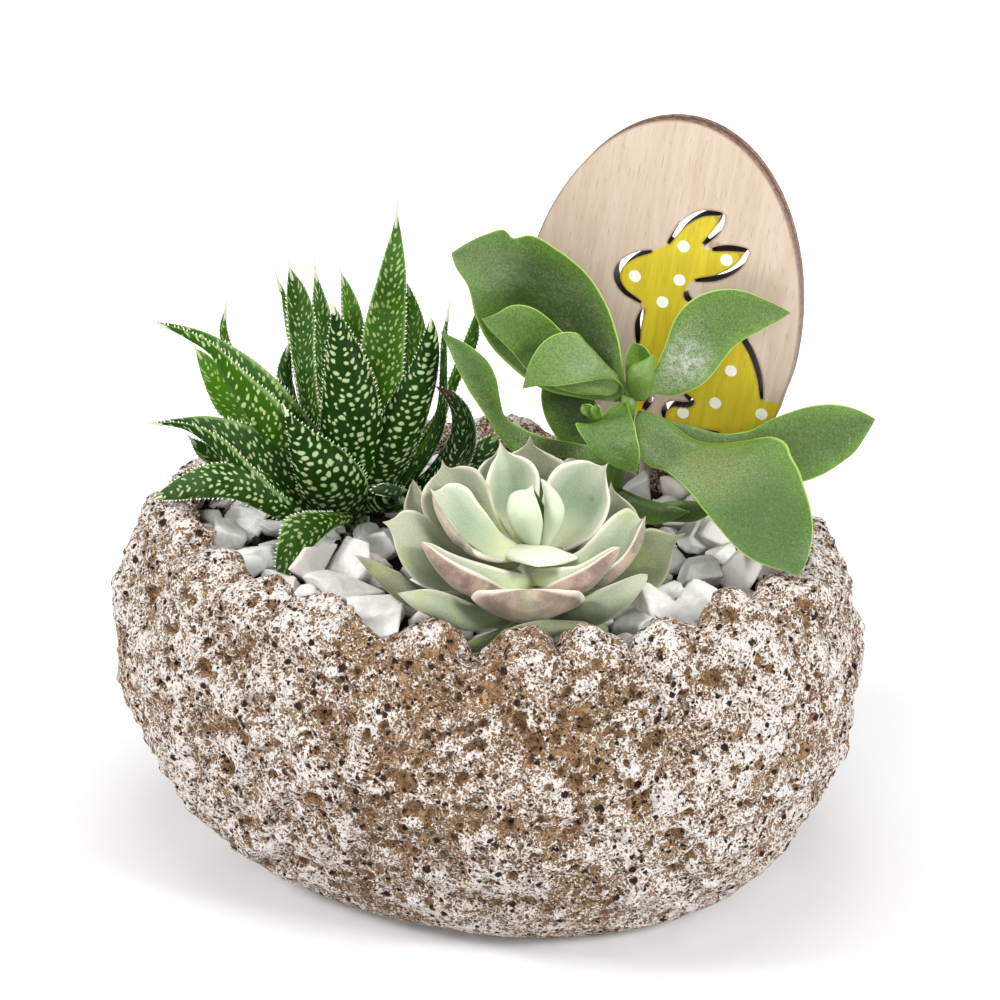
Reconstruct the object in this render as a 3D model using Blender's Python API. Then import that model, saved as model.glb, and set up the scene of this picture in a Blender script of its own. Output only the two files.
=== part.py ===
"""A stone egg bowl planted with three succulents in white marble chips, with a wooden egg on a pick.

Metres, +Z up. The origin is the middle of the flat spot that the bowl stands on, the bowl's long
side lies along X with its blunt end at +X, and the side to be looked at is -Y.
"""

import math
import random

import bmesh
import bpy
from mathutils import Matrix, Vector, noise

MM = 0.001
GAP = 0.3 * MM
SLIVER = 0.01 * MM

# Bowl: the lower part of an egg lying on its side, cast in porous stone, with a broken rim
POT_BLUNT = 90 * MM
POT_POINTED = 112 * MM
POT_HALF_WIDTH = 77 * MM
POT_HALF_DEPTH = 84 * MM
POT_MIDDLE = 57.6 * MM
WALL = 12 * MM
FLOOR = 14 * MM
RIM_VALLEY = 87.5 * MM
RIM_PEAK = 95.5 * MM
RIM_PEAK_TURNS = (4, 20, 36, 52, 69, 86, 102, 118, 135, 152, 168, 184, 199, 213, 226, 237, 249,
                  266, 281, 294, 310, 331, 346)
RIM_LUMP = 1.1 * MM
STONE_SWELL = 1.3 * MM
STONE_PIT = 1.5 * MM
STONE_PIT_SPACING = 15 * MM

# Fill
SOIL_TOP = 80 * MM
CHIP_BED = 3.2 * MM
BED_CLEAR = 0.9 * MM
CHIP_HALF = 7.8 * MM
CHIP_SUNK = 1.4 * MM
CHIP_COUNT = 55

# The planting is turned to face a little to the right of the bowl's long side
FACING = math.radians(14)

# Wooden egg on its pick
EGG_HALF_WIDTH = 38 * MM
EGG_ABOVE = 58.5 * MM
EGG_BELOW = 37.5 * MM
EGG_THICK = 5.5 * MM
EGG_CENTRE = Vector((27.2, 42.8, 136)) * MM
EGG_YAW = math.radians(-4)
EGG_ROLL = math.radians(8.6)
PICK_RADIUS = 1.5 * MM
PICK_FOOT = 48 * MM
PICK_HEAD = 150 * MM


def clear_scene():
    for obj in list(bpy.data.objects):
        bpy.data.objects.remove(obj, do_unlink=True)


def material(name, colour, roughness):
    made = bpy.data.materials.new(name)
    made.use_nodes = True
    shader = made.node_tree.nodes["Principled BSDF"]
    shader.inputs["Base Color"].default_value = (*colour, 1.0)
    shader.inputs["Roughness"].default_value = roughness
    shader.inputs["Metallic"].default_value = 0.0
    return made


def add_object(name, mesh, collection, finish=None):
    made = bpy.data.objects.new(name, mesh)
    collection.objects.link(made)
    if finish is not None:
        mesh.materials.clear()
        mesh.materials.append(finish)
    return made


def shaped_sphere(name, around, along, place):
    """A UV sphere whose ring i and column j are moved to place(i, j): a closed skin for any loft.

    Ring 0 is the lower pole and ring `along` the upper one, where the column is always 0.
    """
    bm = bmesh.new()
    bmesh.ops.create_uvsphere(bm, u_segments=around, v_segments=along, radius=1.0)
    for vert in bm.verts:
        ring = round((1 - math.acos(max(-1.0, min(1.0, vert.co.z))) / math.pi) * along)
        turn = math.atan2(vert.co.y, vert.co.x) % (2 * math.pi)
        column = 0 if ring in (0, along) else round(turn / (2 * math.pi) * around) % around
        vert.co = place(ring, column)
    if bm.calc_volume(signed=True) < 0:
        bmesh.ops.reverse_faces(bm, faces=bm.faces)
    mesh = bpy.data.meshes.new(name)
    bm.to_mesh(mesh)
    bm.free()
    mesh.shade_smooth()
    return mesh


def evaluated_mesh(obj):
    graph = bpy.context.evaluated_depsgraph_get()
    return bpy.data.meshes.new_from_object(obj.evaluated_get(graph), depsgraph=graph)


def welded_mesh(curve, name):
    """A curve object's solid as a mesh with its caps welded on; the curve is removed."""
    mesh = evaluated_mesh(curve)
    mesh.name = name
    mesh.transform(curve.matrix_world)
    bm = bmesh.new()
    bm.from_mesh(mesh)
    bmesh.ops.remove_doubles(bm, verts=bm.verts, dist=0.00001)
    bm.to_mesh(mesh)
    bm.free()
    bpy.data.objects.remove(curve, do_unlink=True)
    return mesh


def keep_main_body(mesh):
    """Drop the skins of hollows that the union sealed and its loose scraps: the largest skin stays."""
    bm = bmesh.new()
    bm.from_mesh(mesh)
    bmesh.ops.remove_doubles(bm, verts=bm.verts, dist=SLIVER)
    bmesh.ops.dissolve_degenerate(bm, edges=bm.edges, dist=SLIVER)
    bmesh.ops.triangulate(bm, faces=bm.faces)
    left = set(bm.faces)
    skins = []
    while left:
        reached = [left.pop()]
        skin = []
        while reached:
            face = reached.pop()
            skin.append(face)
            for edge in face.edges:
                if edge.is_manifold:
                    for other in edge.link_faces:
                        if other in left:
                            left.remove(other)
                            reached.append(other)
        skins.append(skin)
    largest = max(skins, key=len)
    loose = [face for skin in skins if skin is not largest for face in skin]
    bmesh.ops.delete(bm, geom=loose, context="FACES")
    bm.to_mesh(mesh)
    bm.free()


def fused(name, host, others, collection, finish):
    """One solid from a host and the collection that grows out of it."""
    bpy.context.scene.collection.children.link(others)
    join = host.modifiers.new("join", "BOOLEAN")
    join.operation = "UNION"
    join.operand_type = "COLLECTION"
    join.collection = others
    join.solver = "EXACT"
    join.use_self = True
    bpy.context.view_layer.update()
    mesh = evaluated_mesh(host)
    mesh.transform(host.matrix_world)
    for obj in list(others.objects) + [host]:
        bpy.data.objects.remove(obj, do_unlink=True)
    bpy.data.collections.remove(others)
    keep_main_body(mesh)
    mesh.name = name
    return add_object(name, mesh, collection, finish)


def cut(obj, cutter):
    carve = obj.modifiers.new("hole", "BOOLEAN")
    carve.operation = "DIFFERENCE"
    carve.object = cutter
    carve.solver = "EXACT"


# The bowl

def egg_point(turn, rise, inset):
    """A point of the egg, drawn in by inset. rise is -1 at its lowest point and 1 at its highest."""
    level = math.sqrt(max(0.0, 1 - rise * rise))
    x = level * math.cos(turn)
    y = level * math.sin(turn)
    end = POT_BLUNT if x > 0 else POT_POINTED
    return Vector((x * (end - inset), y * (POT_HALF_WIDTH - inset),
                   POT_MIDDLE + rise * (POT_HALF_DEPTH - inset)))


def rise_at(height, inset=0.0):
    return (height - POT_MIDDLE) / (POT_HALF_DEPTH - inset)


def rim_share(turn):
    """1 on a peak of the broken rim and 0 in the notch between two peaks."""
    degrees = math.degrees(turn) % 360
    peaks = [p - 360 for p in RIM_PEAK_TURNS[-1:]] + list(RIM_PEAK_TURNS) + [RIM_PEAK_TURNS[0] + 360]
    for low, high in zip(peaks, peaks[1:]):
        if low <= degrees <= high:
            across = (degrees - low) / (high - low)
            return 1 - (1 - abs(2 * across - 1)) ** 2.4
    return 0.0


def rim_height(turn):
    uneven = 1.8 * MM * noise.noise(Vector((2 * math.cos(turn), 2 * math.sin(turn), 7.0)))
    return RIM_VALLEY + (RIM_PEAK - RIM_VALLEY) * rim_share(turn) + uneven


def stone_relief(point):
    """How far the porous stone swells out or is pitted at a point of its outer skin."""
    swell = STONE_SWELL * noise.fractal(point / (22 * MM), 1.0, 2.0, 2)
    near = noise.voronoi(point / STONE_PIT_SPACING)[0][0]
    pit = max(0.0, 1 - near / 0.42)
    return swell - STONE_PIT * pit ** 0.7


OUTER_RINGS = 12
INNER_RINGS = 4
LUMP_COLUMNS = 4
POT_COLUMNS = LUMP_COLUMNS * len(RIM_PEAK_TURNS)


def column_turn(column):
    """The bowl's columns are shared out between the rim's peaks, so that each lump keeps its form."""
    lump, part = divmod(column, LUMP_COLUMNS)
    ends = RIM_PEAK_TURNS + (RIM_PEAK_TURNS[0] + 360,)
    return math.radians(ends[lump] + (ends[lump + 1] - ends[lump]) * part / LUMP_COLUMNS)


def pot_place(ring, column):
    turn = column_turn(column)
    foot = rise_at(0.0)
    top = rim_height(turn)
    last_outer = 2 + OUTER_RINGS
    lip = last_outer + 3
    if ring == 0:
        return Vector((0, 0, 0))
    if ring == 1:
        point = egg_point(turn, foot, 3 * MM)
        point.z = 0.0
        return point
    if ring <= last_outer:
        share = (ring - 2) / OUTER_RINGS
        low = 1.6 * MM
        height = low + (top - 3.5 * MM - low) * share ** 0.92
        point = egg_point(turn, rise_at(height), 0.0)
        outward = Vector((point.x, point.y, (point.z - POT_MIDDLE) * 0.9)).normalized()
        bulge = RIM_LUMP * rim_share(turn) * max(0.0, 1 - (top - height) / (12 * MM))
        strength = min(1.0, share * 5)
        return point + outward * (stone_relief(point) * strength + bulge)
    if ring < lip:
        inset = (2.6 * MM, 6.5 * MM)[ring - last_outer - 1]
        drop = (0.8 * MM, 0.0)[ring - last_outer - 1]
        point = egg_point(turn, rise_at(top - drop), 0.0)
        middle = Vector((0, 0, point.z))
        return point + (middle - point).normalized() * inset
    if ring < lip + INNER_RINGS + 1:
        share = (ring - lip) / INNER_RINGS
        height = (top - 2.5 * MM) * (1 - share) + FLOOR * share
        return inner_point(turn, height)
    return Vector((0, 0, FLOOR))


def inner_point(turn, height, clear=0.0):
    """A point of the bowl's inner wall at a height, drawn in by a clearance."""
    return egg_point(turn, rise_at(height, WALL), WALL + clear)


def make_pot(collection, finish):
    along = 2 + OUTER_RINGS + 3 + INNER_RINGS + 1
    mesh = shaped_sphere("pot", POT_COLUMNS, along, pot_place)
    return add_object("pot", mesh, collection, finish)


# Soil and marble chips

SOIL_COLUMNS = 40
SOIL_RINGS = 8


def ground_dip(x, y):
    """The fill is lower round the rosette at the front, so that its low leaves lie clear of it."""
    away = math.hypot(x - ROSETTE_FOOT.x, y - ROSETTE_FOOT.y) / (52 * MM)
    return 5 * MM * max(0.0, 1 - away * away)


def soil_place(ring, column):
    turn = 2 * math.pi * column / SOIL_COLUMNS
    clear = 1.4 * MM
    floor = FLOOR + GAP
    if ring == 0:
        return Vector((0, 0, floor))
    if ring <= 4:
        height = floor + (SOIL_TOP - 1.5 * MM - floor) * (ring - 1) / 3
        point = inner_point(turn, height, clear)
        if ring == 1:
            point.xy *= 0.97
        if ring == 4:
            point.z -= ground_dip(point.x, point.y)
        return point
    inward = (SOIL_RINGS - ring) / (SOIL_RINGS - 4)
    edge = inner_point(turn, SOIL_TOP, clear)
    x, y = edge.x * inward, edge.y * inward
    crumb = 0.4 * MM * noise.noise(Vector((x, y, 0)) / (9 * MM))
    return Vector((x, y, SOIL_TOP - ground_dip(x, y) + crumb))


def make_soil(collection, finish):
    mesh = shaped_sphere("soil", SOIL_COLUMNS, SOIL_RINGS, soil_place)
    return add_object("soil", mesh, collection, finish)


BED_RINGS = 8


def bed_place(ring, column):
    """A thin layer of crushed chips that follows the soil's top."""
    turn = 2 * math.pi * column / SOIL_COLUMNS
    under = ring <= BED_RINGS // 2
    share = (ring if under else BED_RINGS - ring) / (BED_RINGS // 2)
    edge = inner_point(turn, SOIL_TOP + 2 * MM, 1.6 * MM)
    x, y = edge.x * share, edge.y * share
    level = SOIL_TOP - ground_dip(x, y) + BED_CLEAR
    return Vector((x, y, level if under else level + CHIP_BED))


def chip(name, size, spin, collection):
    """One crushed chip: an icosphere with uneven corners, flattened, turned at random and cut off
    below, so that it ends inside the bed.
    """
    bm = bmesh.new()
    bmesh.ops.create_icosphere(bm, subdivisions=1, radius=1.0)
    for vert in bm.verts:
        vert.co *= spin.uniform(0.82, 1.14)
    shape = Matrix.Diagonal((size * spin.uniform(1.0, 1.35), size * spin.uniform(0.75, 1.0),
                             size * spin.uniform(0.5, 0.62), 1.0))
    tilt = Matrix.Rotation(spin.uniform(-0.3, 0.3), 4, "X") @ Matrix.Rotation(
        spin.uniform(-0.3, 0.3), 4, "Y")
    bm.transform(Matrix.Rotation(spin.uniform(0, math.tau), 4, "Z") @ tilt @ shape)
    for vert in bm.verts:
        vert.co.z = max(vert.co.z, -CHIP_SUNK)
    mesh = bpy.data.meshes.new(name)
    bm.to_mesh(mesh)
    bm.free()
    return add_object(name, mesh, collection)


def chip_spots(spin):
    """Spots for the chips, spread by dart throwing, with their sizes."""
    spots = []
    for _ in range(9000):
        if len(spots) == CHIP_COUNT:
            break
        size = CHIP_HALF * spin.uniform(0.72, 1.15)
        turn = spin.uniform(0, math.tau)
        edge = inner_point(turn, SOIL_TOP + 6 * MM, size * 1.32 + GAP)
        reach = math.sqrt(spin.uniform(0, 1))
        x, y = edge.x * reach, edge.y * reach
        if any(math.hypot(x - r.x, y - r.y) < size * 0.9 + clear for r, clear in ROOT_SPOTS):
            continue
        if all(math.hypot(x - p.x, y - p.y) > 0.78 * (size + s) for p, s in spots):
            spots.append((Vector((x, y, 0)), size))
    return spots


def make_chips(collection, finish):
    host = add_object("bed", shaped_sphere("bed", SOIL_COLUMNS, BED_RINGS, bed_place), collection)
    loose = bpy.data.collections.new("loose chips")
    spin = random.Random(11)
    for index, (spot, size) in enumerate(chip_spots(spin)):
        made = chip(f"chip_{index}", size, spin, loose)
        level = SOIL_TOP - ground_dip(spot.x, spot.y) + BED_CLEAR + CHIP_BED
        made.location = Vector((spot.x, spot.y, level + spin.uniform(-0.6, 1.0) * MM))
    return fused("marble_chips", host, loose, collection, finish)


# Leaves

def outline_lance(s):
    """Half-width of an aloe leaf: broad at its foot, drawn out to a long point."""
    return (1 - s ** 1.45) * (0.8 + 0.6 * s)


def outline_spoon(s):
    """Half-width of a rosette leaf: a narrow foot, a round end and a short sharp tip."""
    widest = 0.66
    if s < widest:
        return 0.42 + 0.58 * math.sin(math.pi / 2 * s / widest) ** 1.4
    return max(0.0, 1 - ((s - widest) / (0.96 - widest)) ** 2.3) ** 0.62 if s < 0.955 else 0.16


def outline_paddle(s):
    """Half-width of a broad succulent leaf: a stalk-like foot and a blunt end with a point."""
    widest = 0.6
    if s < widest:
        return 0.2 + 0.8 * (0.5 - 0.5 * math.cos(math.pi * s / widest)) ** 0.85
    return max(0.0, 1 - ((s - widest) / (1 - widest)) ** 2.3)


class Leaf:
    """A fleshy leaf lofted along a curved midrib, with its upper face turned to `face`."""

    def __init__(self, root, bend, tip, face, width, thick, outline, cup=0.2, wave=0.0, teeth=0.0,
                 point=1.0):
        self.root, self.bend, self.tip = root, bend, tip
        self.face = face.normalized()
        self.half, self.thick = width / 2, thick
        self.outline, self.cup, self.wave = outline, cup, wave
        self.teeth, self.point = teeth, point

    def midrib(self, s):
        return (self.root * (1 - s) ** 2 + self.bend * (2 * s * (1 - s)) + self.tip * s ** 2)

    def frame(self, s):
        along = ((self.bend - self.root) * (1 - s) + (self.tip - self.bend) * s).normalized()
        side = along.cross(self.face).normalized()
        return along, side, side.cross(along)

    def surface(self, s, angle, tooth=0.0):
        """The skin at share s of the length, angle 0 at one edge, a quarter turn on the upper face."""
        half = self.half * self.outline(s) + tooth
        _, side, normal = self.frame(s)
        across = math.cos(angle)
        plump = self.thick * (1 - 0.62 * s ** self.point) * min(1.0, self.outline(s) * 1.6)
        depth = math.sin(angle) * plump * (0.34 if math.sin(angle) > 0 else 0.66)
        curl = self.cup * half * across * across
        ripple = self.wave * math.sin(2.2 * math.pi * s + (0.6 if across > 0 else 2.4)) * across ** 2
        return self.midrib(s) + side * (half * across) + normal * (depth + curl + ripple)

    def mesh(self, name, around, stations):
        last = len(stations) - 1

        def place(ring, column):
            s = stations[ring]
            if ring in (0, last):
                return self.midrib(s)
            angle = 2 * math.pi * column / around
            edge = abs(math.cos(angle)) > 0.99
            tooth = self.teeth * (ring % 2) * (1 - s) ** 0.5 if edge and ring > 2 else 0.0
            return self.surface(s, angle, tooth)

        return shaped_sphere(name, around, last, place)


def viewer_frame(heading):
    """Unit vector on the level at a heading: 0 to the viewer's right, 90 away, 180 left."""
    turn = math.radians(heading) + FACING
    return Vector((math.cos(turn), math.sin(turn), 0))


def seen_from(foot, right, away, up):
    """A point given in millimetres from a plant's foot, to the viewer's right, away and up."""
    return foot + (viewer_frame(0) * right + viewer_frame(90) * away + Vector((0, 0, up))) * MM


def looking(right, away, up):
    """A direction given to the viewer's right, away and up."""
    return viewer_frame(0) * right + viewer_frame(90) * away + Vector((0, 0, up))


def stub(name, foot, radius, low, high, lean, collection, sides=12, taper=0.8):
    """The short stem that carries a plant's leaves and goes down into the soil."""
    bm = bmesh.new()
    bmesh.ops.create_cone(bm, cap_ends=True, segments=sides, radius1=radius, radius2=radius * taper,
                          depth=high - low)
    mesh = bpy.data.meshes.new(name)
    bm.to_mesh(mesh)
    bm.free()
    made = add_object(name, mesh, collection)
    made.location = Vector((foot.x, foot.y, (low + high) / 2))
    made.rotation_euler = lean
    return made


ALOE_FOOT = Vector((-50, 8, 88)) * MM
ROSETTE_FOOT = Vector((11.4, -25, 92)) * MM
SHOOT_FOOT = Vector((17, 23, 84)) * MM
SHOOT_HEAD = Vector((24, 20, 122)) * MM
PICK_SPOT = Vector((23.4, 47.6, 0)) * MM
ROOT_RADIUS = 6.5 * MM
SHOOT_RADIUS = 3.4 * MM
ROOT_LOW = 58 * MM
BARE_SPOT = Vector((14, -53, 0)) * MM
DROOP_SPOT = Vector((-59, -27, 0)) * MM
ROOT_SPOTS = ((ALOE_FOOT, 9 * MM), (ROSETTE_FOOT, 8 * MM), (SHOOT_FOOT, 5 * MM),
              (PICK_SPOT, 3.2 * MM), (BARE_SPOT, 8 * MM), (DROOP_SPOT, 5 * MM))

# Leaves as root, bend and tip from the plant's foot, to the viewer's right, away and up, in
# millimetres; then the width and the way that the upper face looks
ALOE_LEAVES = (
    ((3, 2, 8), (10, 9, 38), (14, 12, 81), 17, (-0.2, -1, 0.25)),
    ((1, -1, 4), (4, -9, 32), (-3, -8, 63), 18, (0.1, 1, 0.2)),
    ((-3, 2, 8), (-14, 9, 34), (-15, 8, 69), 13, (0.1, -1, 0.2)),
    ((-3, 3, 8), (-7, 10, 32), (-8, 10, 68), 10, (0, -1, 0.2)),
    ((-1, 4, 7), (4, 14, 37), (-1, 13, 66), 10, (0, -1, 0.2)),
    ((4, -1, 7), (18, -6, 30), (23, -6, 59), 17, (-0.5, 0.8, 0.35)),
    ((3, 2, 8), (20, 14, 31), (16, 13, 61), 11, (-0.4, -1, 0.2)),
    ((-4, -1, 8), (-28, -6, 50), (-50, -8, 58), 15, (0.4, -0.5, 0.75)),
    ((-4, -1, 4), (-25, -8, 28), (-51, -8, 29), 14, (0.3, -0.5, 0.8)),
    ((-4, -1, 1), (-36, -10, 20), (-53, -6, 6), 14, (0.2, -0.6, 0.75)),
    ((-4, 1, 5), (-36, 13, 7), (-43, 12, 17), 11, (0.2, -0.6, 0.75)),
    ((-4, 1, 8), (-38, 11, 30), (-40, 10, 44), 17, (0.5, -0.7, 0.5)),
    ((0, -4, 2), (-3, -16, 20), (-16, -16, 39), 22, (0.2, 0.8, 0.5)),
    ((0, -4, 0), (-12, -27, 11), (-17, -32, -3), 13, (-0.2, -0.3, 0.9)),
    ((2, -3, 5), (10, -13, 17), (16, -12, 11), 6, (0, -0.4, 0.9)),
    ((4, 1, 2), (46, 12, 15), (24, 8, 33), 9, (-0.8, -0.3, 0.5)),
    ((3, 2, 4), (32, 24, 4), (40, 22, 14), 14, (-0.2, -0.6, 0.75)),
    ((4, 0, 6), (32, 6, 30), (27, 5, 57), 9, (-0.9, 0.5, 0.2)),
    ((4, 1, 6), (34, 17, 19), (36, 17, 50), 8, (-0.6, -0.7, 0.3)),
    ((-3, 2, 7), (-39, 25, 23), (-33, 20, 52), 11, (0.5, -0.8, 0.3)),
    ((-3, 3, 7), (-23, 22, 27), (-16, 18, 41), 9, (0.3, -0.9, 0.3)),
    ((-3, 2, 7), (-14, 16, 36), (-20, 14, 64), 6, (0.3, -0.9, 0.3)),
    ((-4, 0, 9), (-31, 4, 30), (-34, 4, 42), 10, (0.5, -0.7, 0.5)),
)
ALOE_STATIONS = (0, 0.1, 0.22, 0.33, 0.44, 0.55, 0.66, 0.77, 0.87, 0.95, 1.0)

ROSETTE_LEAVES = (
    ((0, 0, 9), (-1, 0, 18), (-1, 0, 25), 4, (0, -1, 0.2)),
    ((-4, -1, 9), (-8, -4, 23), (-3, 1, 25), 12, (0.5, 0.8, 0.3)),
    ((1, 0, 9), (7, -1, 21), (-1, 2, 26), 10, (-0.7, 0.6, 0.3)),
    ((-3, 2, 7), (-9, 10, 20), (-10, 10, 32), 17, (0.25, -0.9, 0.4)),
    ((2, 3, 6), (9, 10, 16), (16, 9, 27), 20, (-0.3, -0.85, 0.5)),
    ((-1, 0, 7), (-1, -7, 7), (-1, -11, 9), 21, (0, -0.1, 1)),
    ((-4, 0, 6), (-22, -2, 16), (-28, 1, 24), 16, (0.5, -0.6, 0.6)),
    ((-4, 1, 4), (-27, 10, 15), (-25, 11, 27), 22, (0.3, -0.8, 0.5)),
    ((-1, 4, 4), (-1, 20, 15), (-3, 20, 29), 22, (0, -0.9, 0.45)),
    ((-3, 2, 5), (-20, 16, 18), (-11, 14, 31), 18, (0.25, -0.9, 0.4)),
    ((4, -1, 5), (20, -5, 9), (25, -2, 17), 21, (-0.6, -0.4, 0.7)),
    ((1, -2, 1), (15, -16, 1), (19, -14, 14), 20, (-0.3, 0.45, 0.85)),
    ((-4, -1, 2), (-23, -17, 3), (-30, -13, 16), 20, (0.3, 0.45, 0.85)),
    ((-1, -4, 2), (-2, -21, -8), (-4, -26, 9), 30, (0, 0.5, 0.85)),
    ((-4, 0, 0), (-33, -4, 2), (-40, 0, 15), 24, (0.3, -0.5, 0.8)),
    ((-1, -4, -3), (-25, -25, -3), (-34, -22, 7), 17, (0, 0.1, 1)),
    ((-3, -2, -4), (-44, -14, 0), (-46, -10, 11), 15, (0.1, -0.1, 1)),
    ((1, -4, -3), (20, -26, -1), (25, -24, 12), 19, (0, 0.2, 1)),
    ((4, -1, 0), (27, -3, 0), (36, 0, 12), 24, (-0.3, -0.6, 0.7)),
    ((3, 3, 3), (19, 18, 8), (18, 18, 18), 22, (-0.3, -0.8, 0.5)),
    ((1, -4, -2), (5, -29, -2), (-11, -26, -4), 9.5, (0, 0.2, 1)),
    ((-3, 2, 3), (-33, 16, 8), (-33, 14, 20), 18, (0.3, -0.8, 0.5)),
    ((-1, -4, -3), (-13, -26, -5), (-16, -24, -5), 10, (0, -0.1, 1)),
)
ROSETTE_STATIONS = (0, 0.14, 0.32, 0.5, 0.66, 0.8, 0.9, 0.957, 1.0)

# name, drop of the leaf's root below the shoot's head, then bend and tip from the head, to the
# viewer's right, away and up, all in millimetres; width; the way its upper face looks; wave
PADDLE_LEAVES = (
    ("upper_left", 1, (-15, 24, 25), (-47, 0, 43), 31, (-0.5, -0.85, 0.3), 1.5),
    ("left_second", 0, (-22, 7, 12), (-39, -2, 25), 17, (-0.1, -0.7, 0.7), 1),
    ("left_front", 0, (-13, -4, 24), (-28, -11, 9), 18, (-0.1, -0.75, 0.65), 1.2),
    ("upper_right", 0, (15, 3, 17), (41, 2, 25), 21, (-0.25, -0.85, 0.5), 1.2),
    ("small_front", 1, (-13, -10, -3), (2, -17, -12), 19, (-0.4, -0.8, 0.45), 0.8),
    ("lower_right", 1, (26, -16, -2), (41, -53, -24), 31, (0, -0.6, 0.8), 2.2),
    ("right_back", 5, (39, -3, -15), (66, 2, -5), 22, (-0.1, -0.7, 0.7), 1.2),
    ("far_left", 17, (-42, -5, -6), (-49, -8, 24), 12.5, (0.6, -0.75, 0.25), 0.8),
    ("back_upright", 12, (-24, 10, -8), (-22, 10, 1), 17, (0.1, -1, 0.2), 0.8),
    ("axil_bud", 5, (-11, -9, 1), (-12, -7, 4), 7, (0, -0.8, 0.6), 0),
    ("back_left", 9, (-16, 14, -4), (-24, 22, 8), 14, (0.0, 0.2, 1.0), 0.8),
    ("low_right", 28, (22, -9, -20), (27, -6, -24), 13, (0.0, -0.2, 1.0), 0.8),
    ("low_left", 24, (-14, -2, -18), (-25, 4, -20), 12, (0.0, -0.3, 1.0), 0.8),
    ("back_right", 12, (14, 10, -4), (26, 9, -14), 14, (0.0, -0.2, 1.0), 0.8),
    ("bud_left", 0, (-4, 0, 10), (1, 1, 16), 8, (1.0, -0.1, 0.1), 0.0),
    ("bud_right", 0, (5, 0, 9), (3, 0, 15), 8, (-1.0, -0.1, 0.1), 0.0),
)
PADDLE_STATIONS = (0, 0.1, 0.22, 0.35, 0.48, 0.6, 0.72, 0.83, 0.92, 0.975, 1.0)


def make_aloe(collection, finish):
    host = stub("aloe_stem", ALOE_FOOT, ROOT_RADIUS, ROOT_LOW, ALOE_FOOT.z + 11 * MM, (0, 0, 0),
                collection)
    leaves = bpy.data.collections.new("aloe leaves")
    for index, (root, bend, tip, width, face) in enumerate(ALOE_LEAVES):
        leaf = Leaf(seen_from(ALOE_FOOT, *root), seen_from(ALOE_FOOT, *bend),
                    seen_from(ALOE_FOOT, *tip), looking(*face), width * MM, 4.6 * MM,
                    outline_lance, 0.42, teeth=0.5 * MM)
        add_object(f"blade_{index}", leaf.mesh("blade", 6, ALOE_STATIONS), leaves)
    return fused("speckled_aloe", host, leaves, collection, finish)


def make_rosette(collection, finish):
    host = stub("rosette_stem", ROSETTE_FOOT, ROOT_RADIUS, ROOT_LOW, ROSETTE_FOOT.z + 9 * MM,
                (0, 0, 0), collection)
    leaves = bpy.data.collections.new("rosette leaves")
    for index, (root, bend, tip, width, face) in enumerate(ROSETTE_LEAVES):
        leaf = Leaf(seen_from(ROSETTE_FOOT, *root), seen_from(ROSETTE_FOOT, *bend),
                    seen_from(ROSETTE_FOOT, *tip), looking(*face), width * MM, 5 * MM,
                    outline_spoon, 0.42)
        add_object(f"petal_{index}", leaf.mesh("petal", 6, ROSETTE_STATIONS), leaves)
    return fused("echeveria", host, leaves, collection, finish)


def make_shoot(collection, finish):
    """The leafy stem behind the rosette, with its broad waved leaves."""
    line = bpy.data.curves.new("shoot", "CURVE")
    line.dimensions = "3D"
    line.bevel_depth = SHOOT_RADIUS
    line.bevel_resolution = 2
    line.use_fill_caps = True
    spline = line.splines.new("POLY")
    foot = Vector((SHOOT_FOOT.x, SHOOT_FOOT.y, ROOT_LOW))
    points = (foot, SHOOT_FOOT, SHOOT_FOOT.lerp(SHOOT_HEAD, 0.5), SHOOT_HEAD,
              SHOOT_HEAD + Vector((0, 0, 4 * MM)))
    spline.points.add(len(points) - 1)
    for point, spot in zip(spline.points, points):
        point.co = (*spot, 1.0)
    curve = bpy.data.objects.new("shoot_line", line)
    collection.objects.link(curve)
    bpy.context.view_layer.update()
    host = add_object("shoot_stem", welded_mesh(curve, "shoot"), collection)
    leaves = bpy.data.collections.new("shoot leaves")
    for name, drop, bend, tip, width, face, wave in PADDLE_LEAVES:
        root = SHOOT_HEAD + (SHOOT_FOOT - SHOOT_HEAD).normalized() * drop * MM
        leaf = Leaf(root, seen_from(SHOOT_HEAD, *bend), seen_from(SHOOT_HEAD, *tip),
                    looking(*face), width * MM, 3.2 * MM, outline_paddle, 0.22, wave=wave * MM,
                    point=0.8)
        add_object(name, leaf.mesh(name, 8 if width > 20 else 6, PADDLE_STATIONS), leaves)
    return fused("leafy_shoot", host, leaves, collection, finish)


# Wooden egg

SLOT_WIDTH = 1.7 * MM
# The rabbit's outline is cut as open slots, so that the figure stays joined to the board.
# Points are in millimetres, right and up from the middle of the board's widest line.
RABBIT_SLOTS = (
    ((-5, 21.2), (-9.4, 18.8), (-12.7, 15), (-13, 11.4), (-10.4, 8.2), (-5.4, 6.2)),
    ((-1.1, 24.4), (1.8, 30.6), (6.2, 34.8), (11.6, 36.2)),
    ((12, 36), (11.2, 31.6), (8.2, 26.7)),
    ((10.7, 25.9), (15, 27.4), (20, 28.1)),
    ((20.2, 27.8), (18.2, 22.8), (13.6, 18.6), (7.8, 16.2)),
    ((6, 12.6), (6.6, 11), (8.2, 10.2)),
    ((-4.4, 4.6), (-5.1, 0), (-4.2, -5.6)),
    ((12, 9.9), (18.8, 7.4), (25, 2), (29.4, -5), (31.6, -12)),
    ((2.2, -19.6), (0.6, -24)),
    ((10.9, -16.4), (13.2, -18), (11.6, -19.4), (8, -20.2), (6.2, -22.4), (6.5, -24.8)),
    ((10.4, -25.6), (16.3, -25.9), (22.2, -25)),
)
TAIL_TURN = math.radians(-29)
TAIL_BUMP = 0.055


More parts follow.
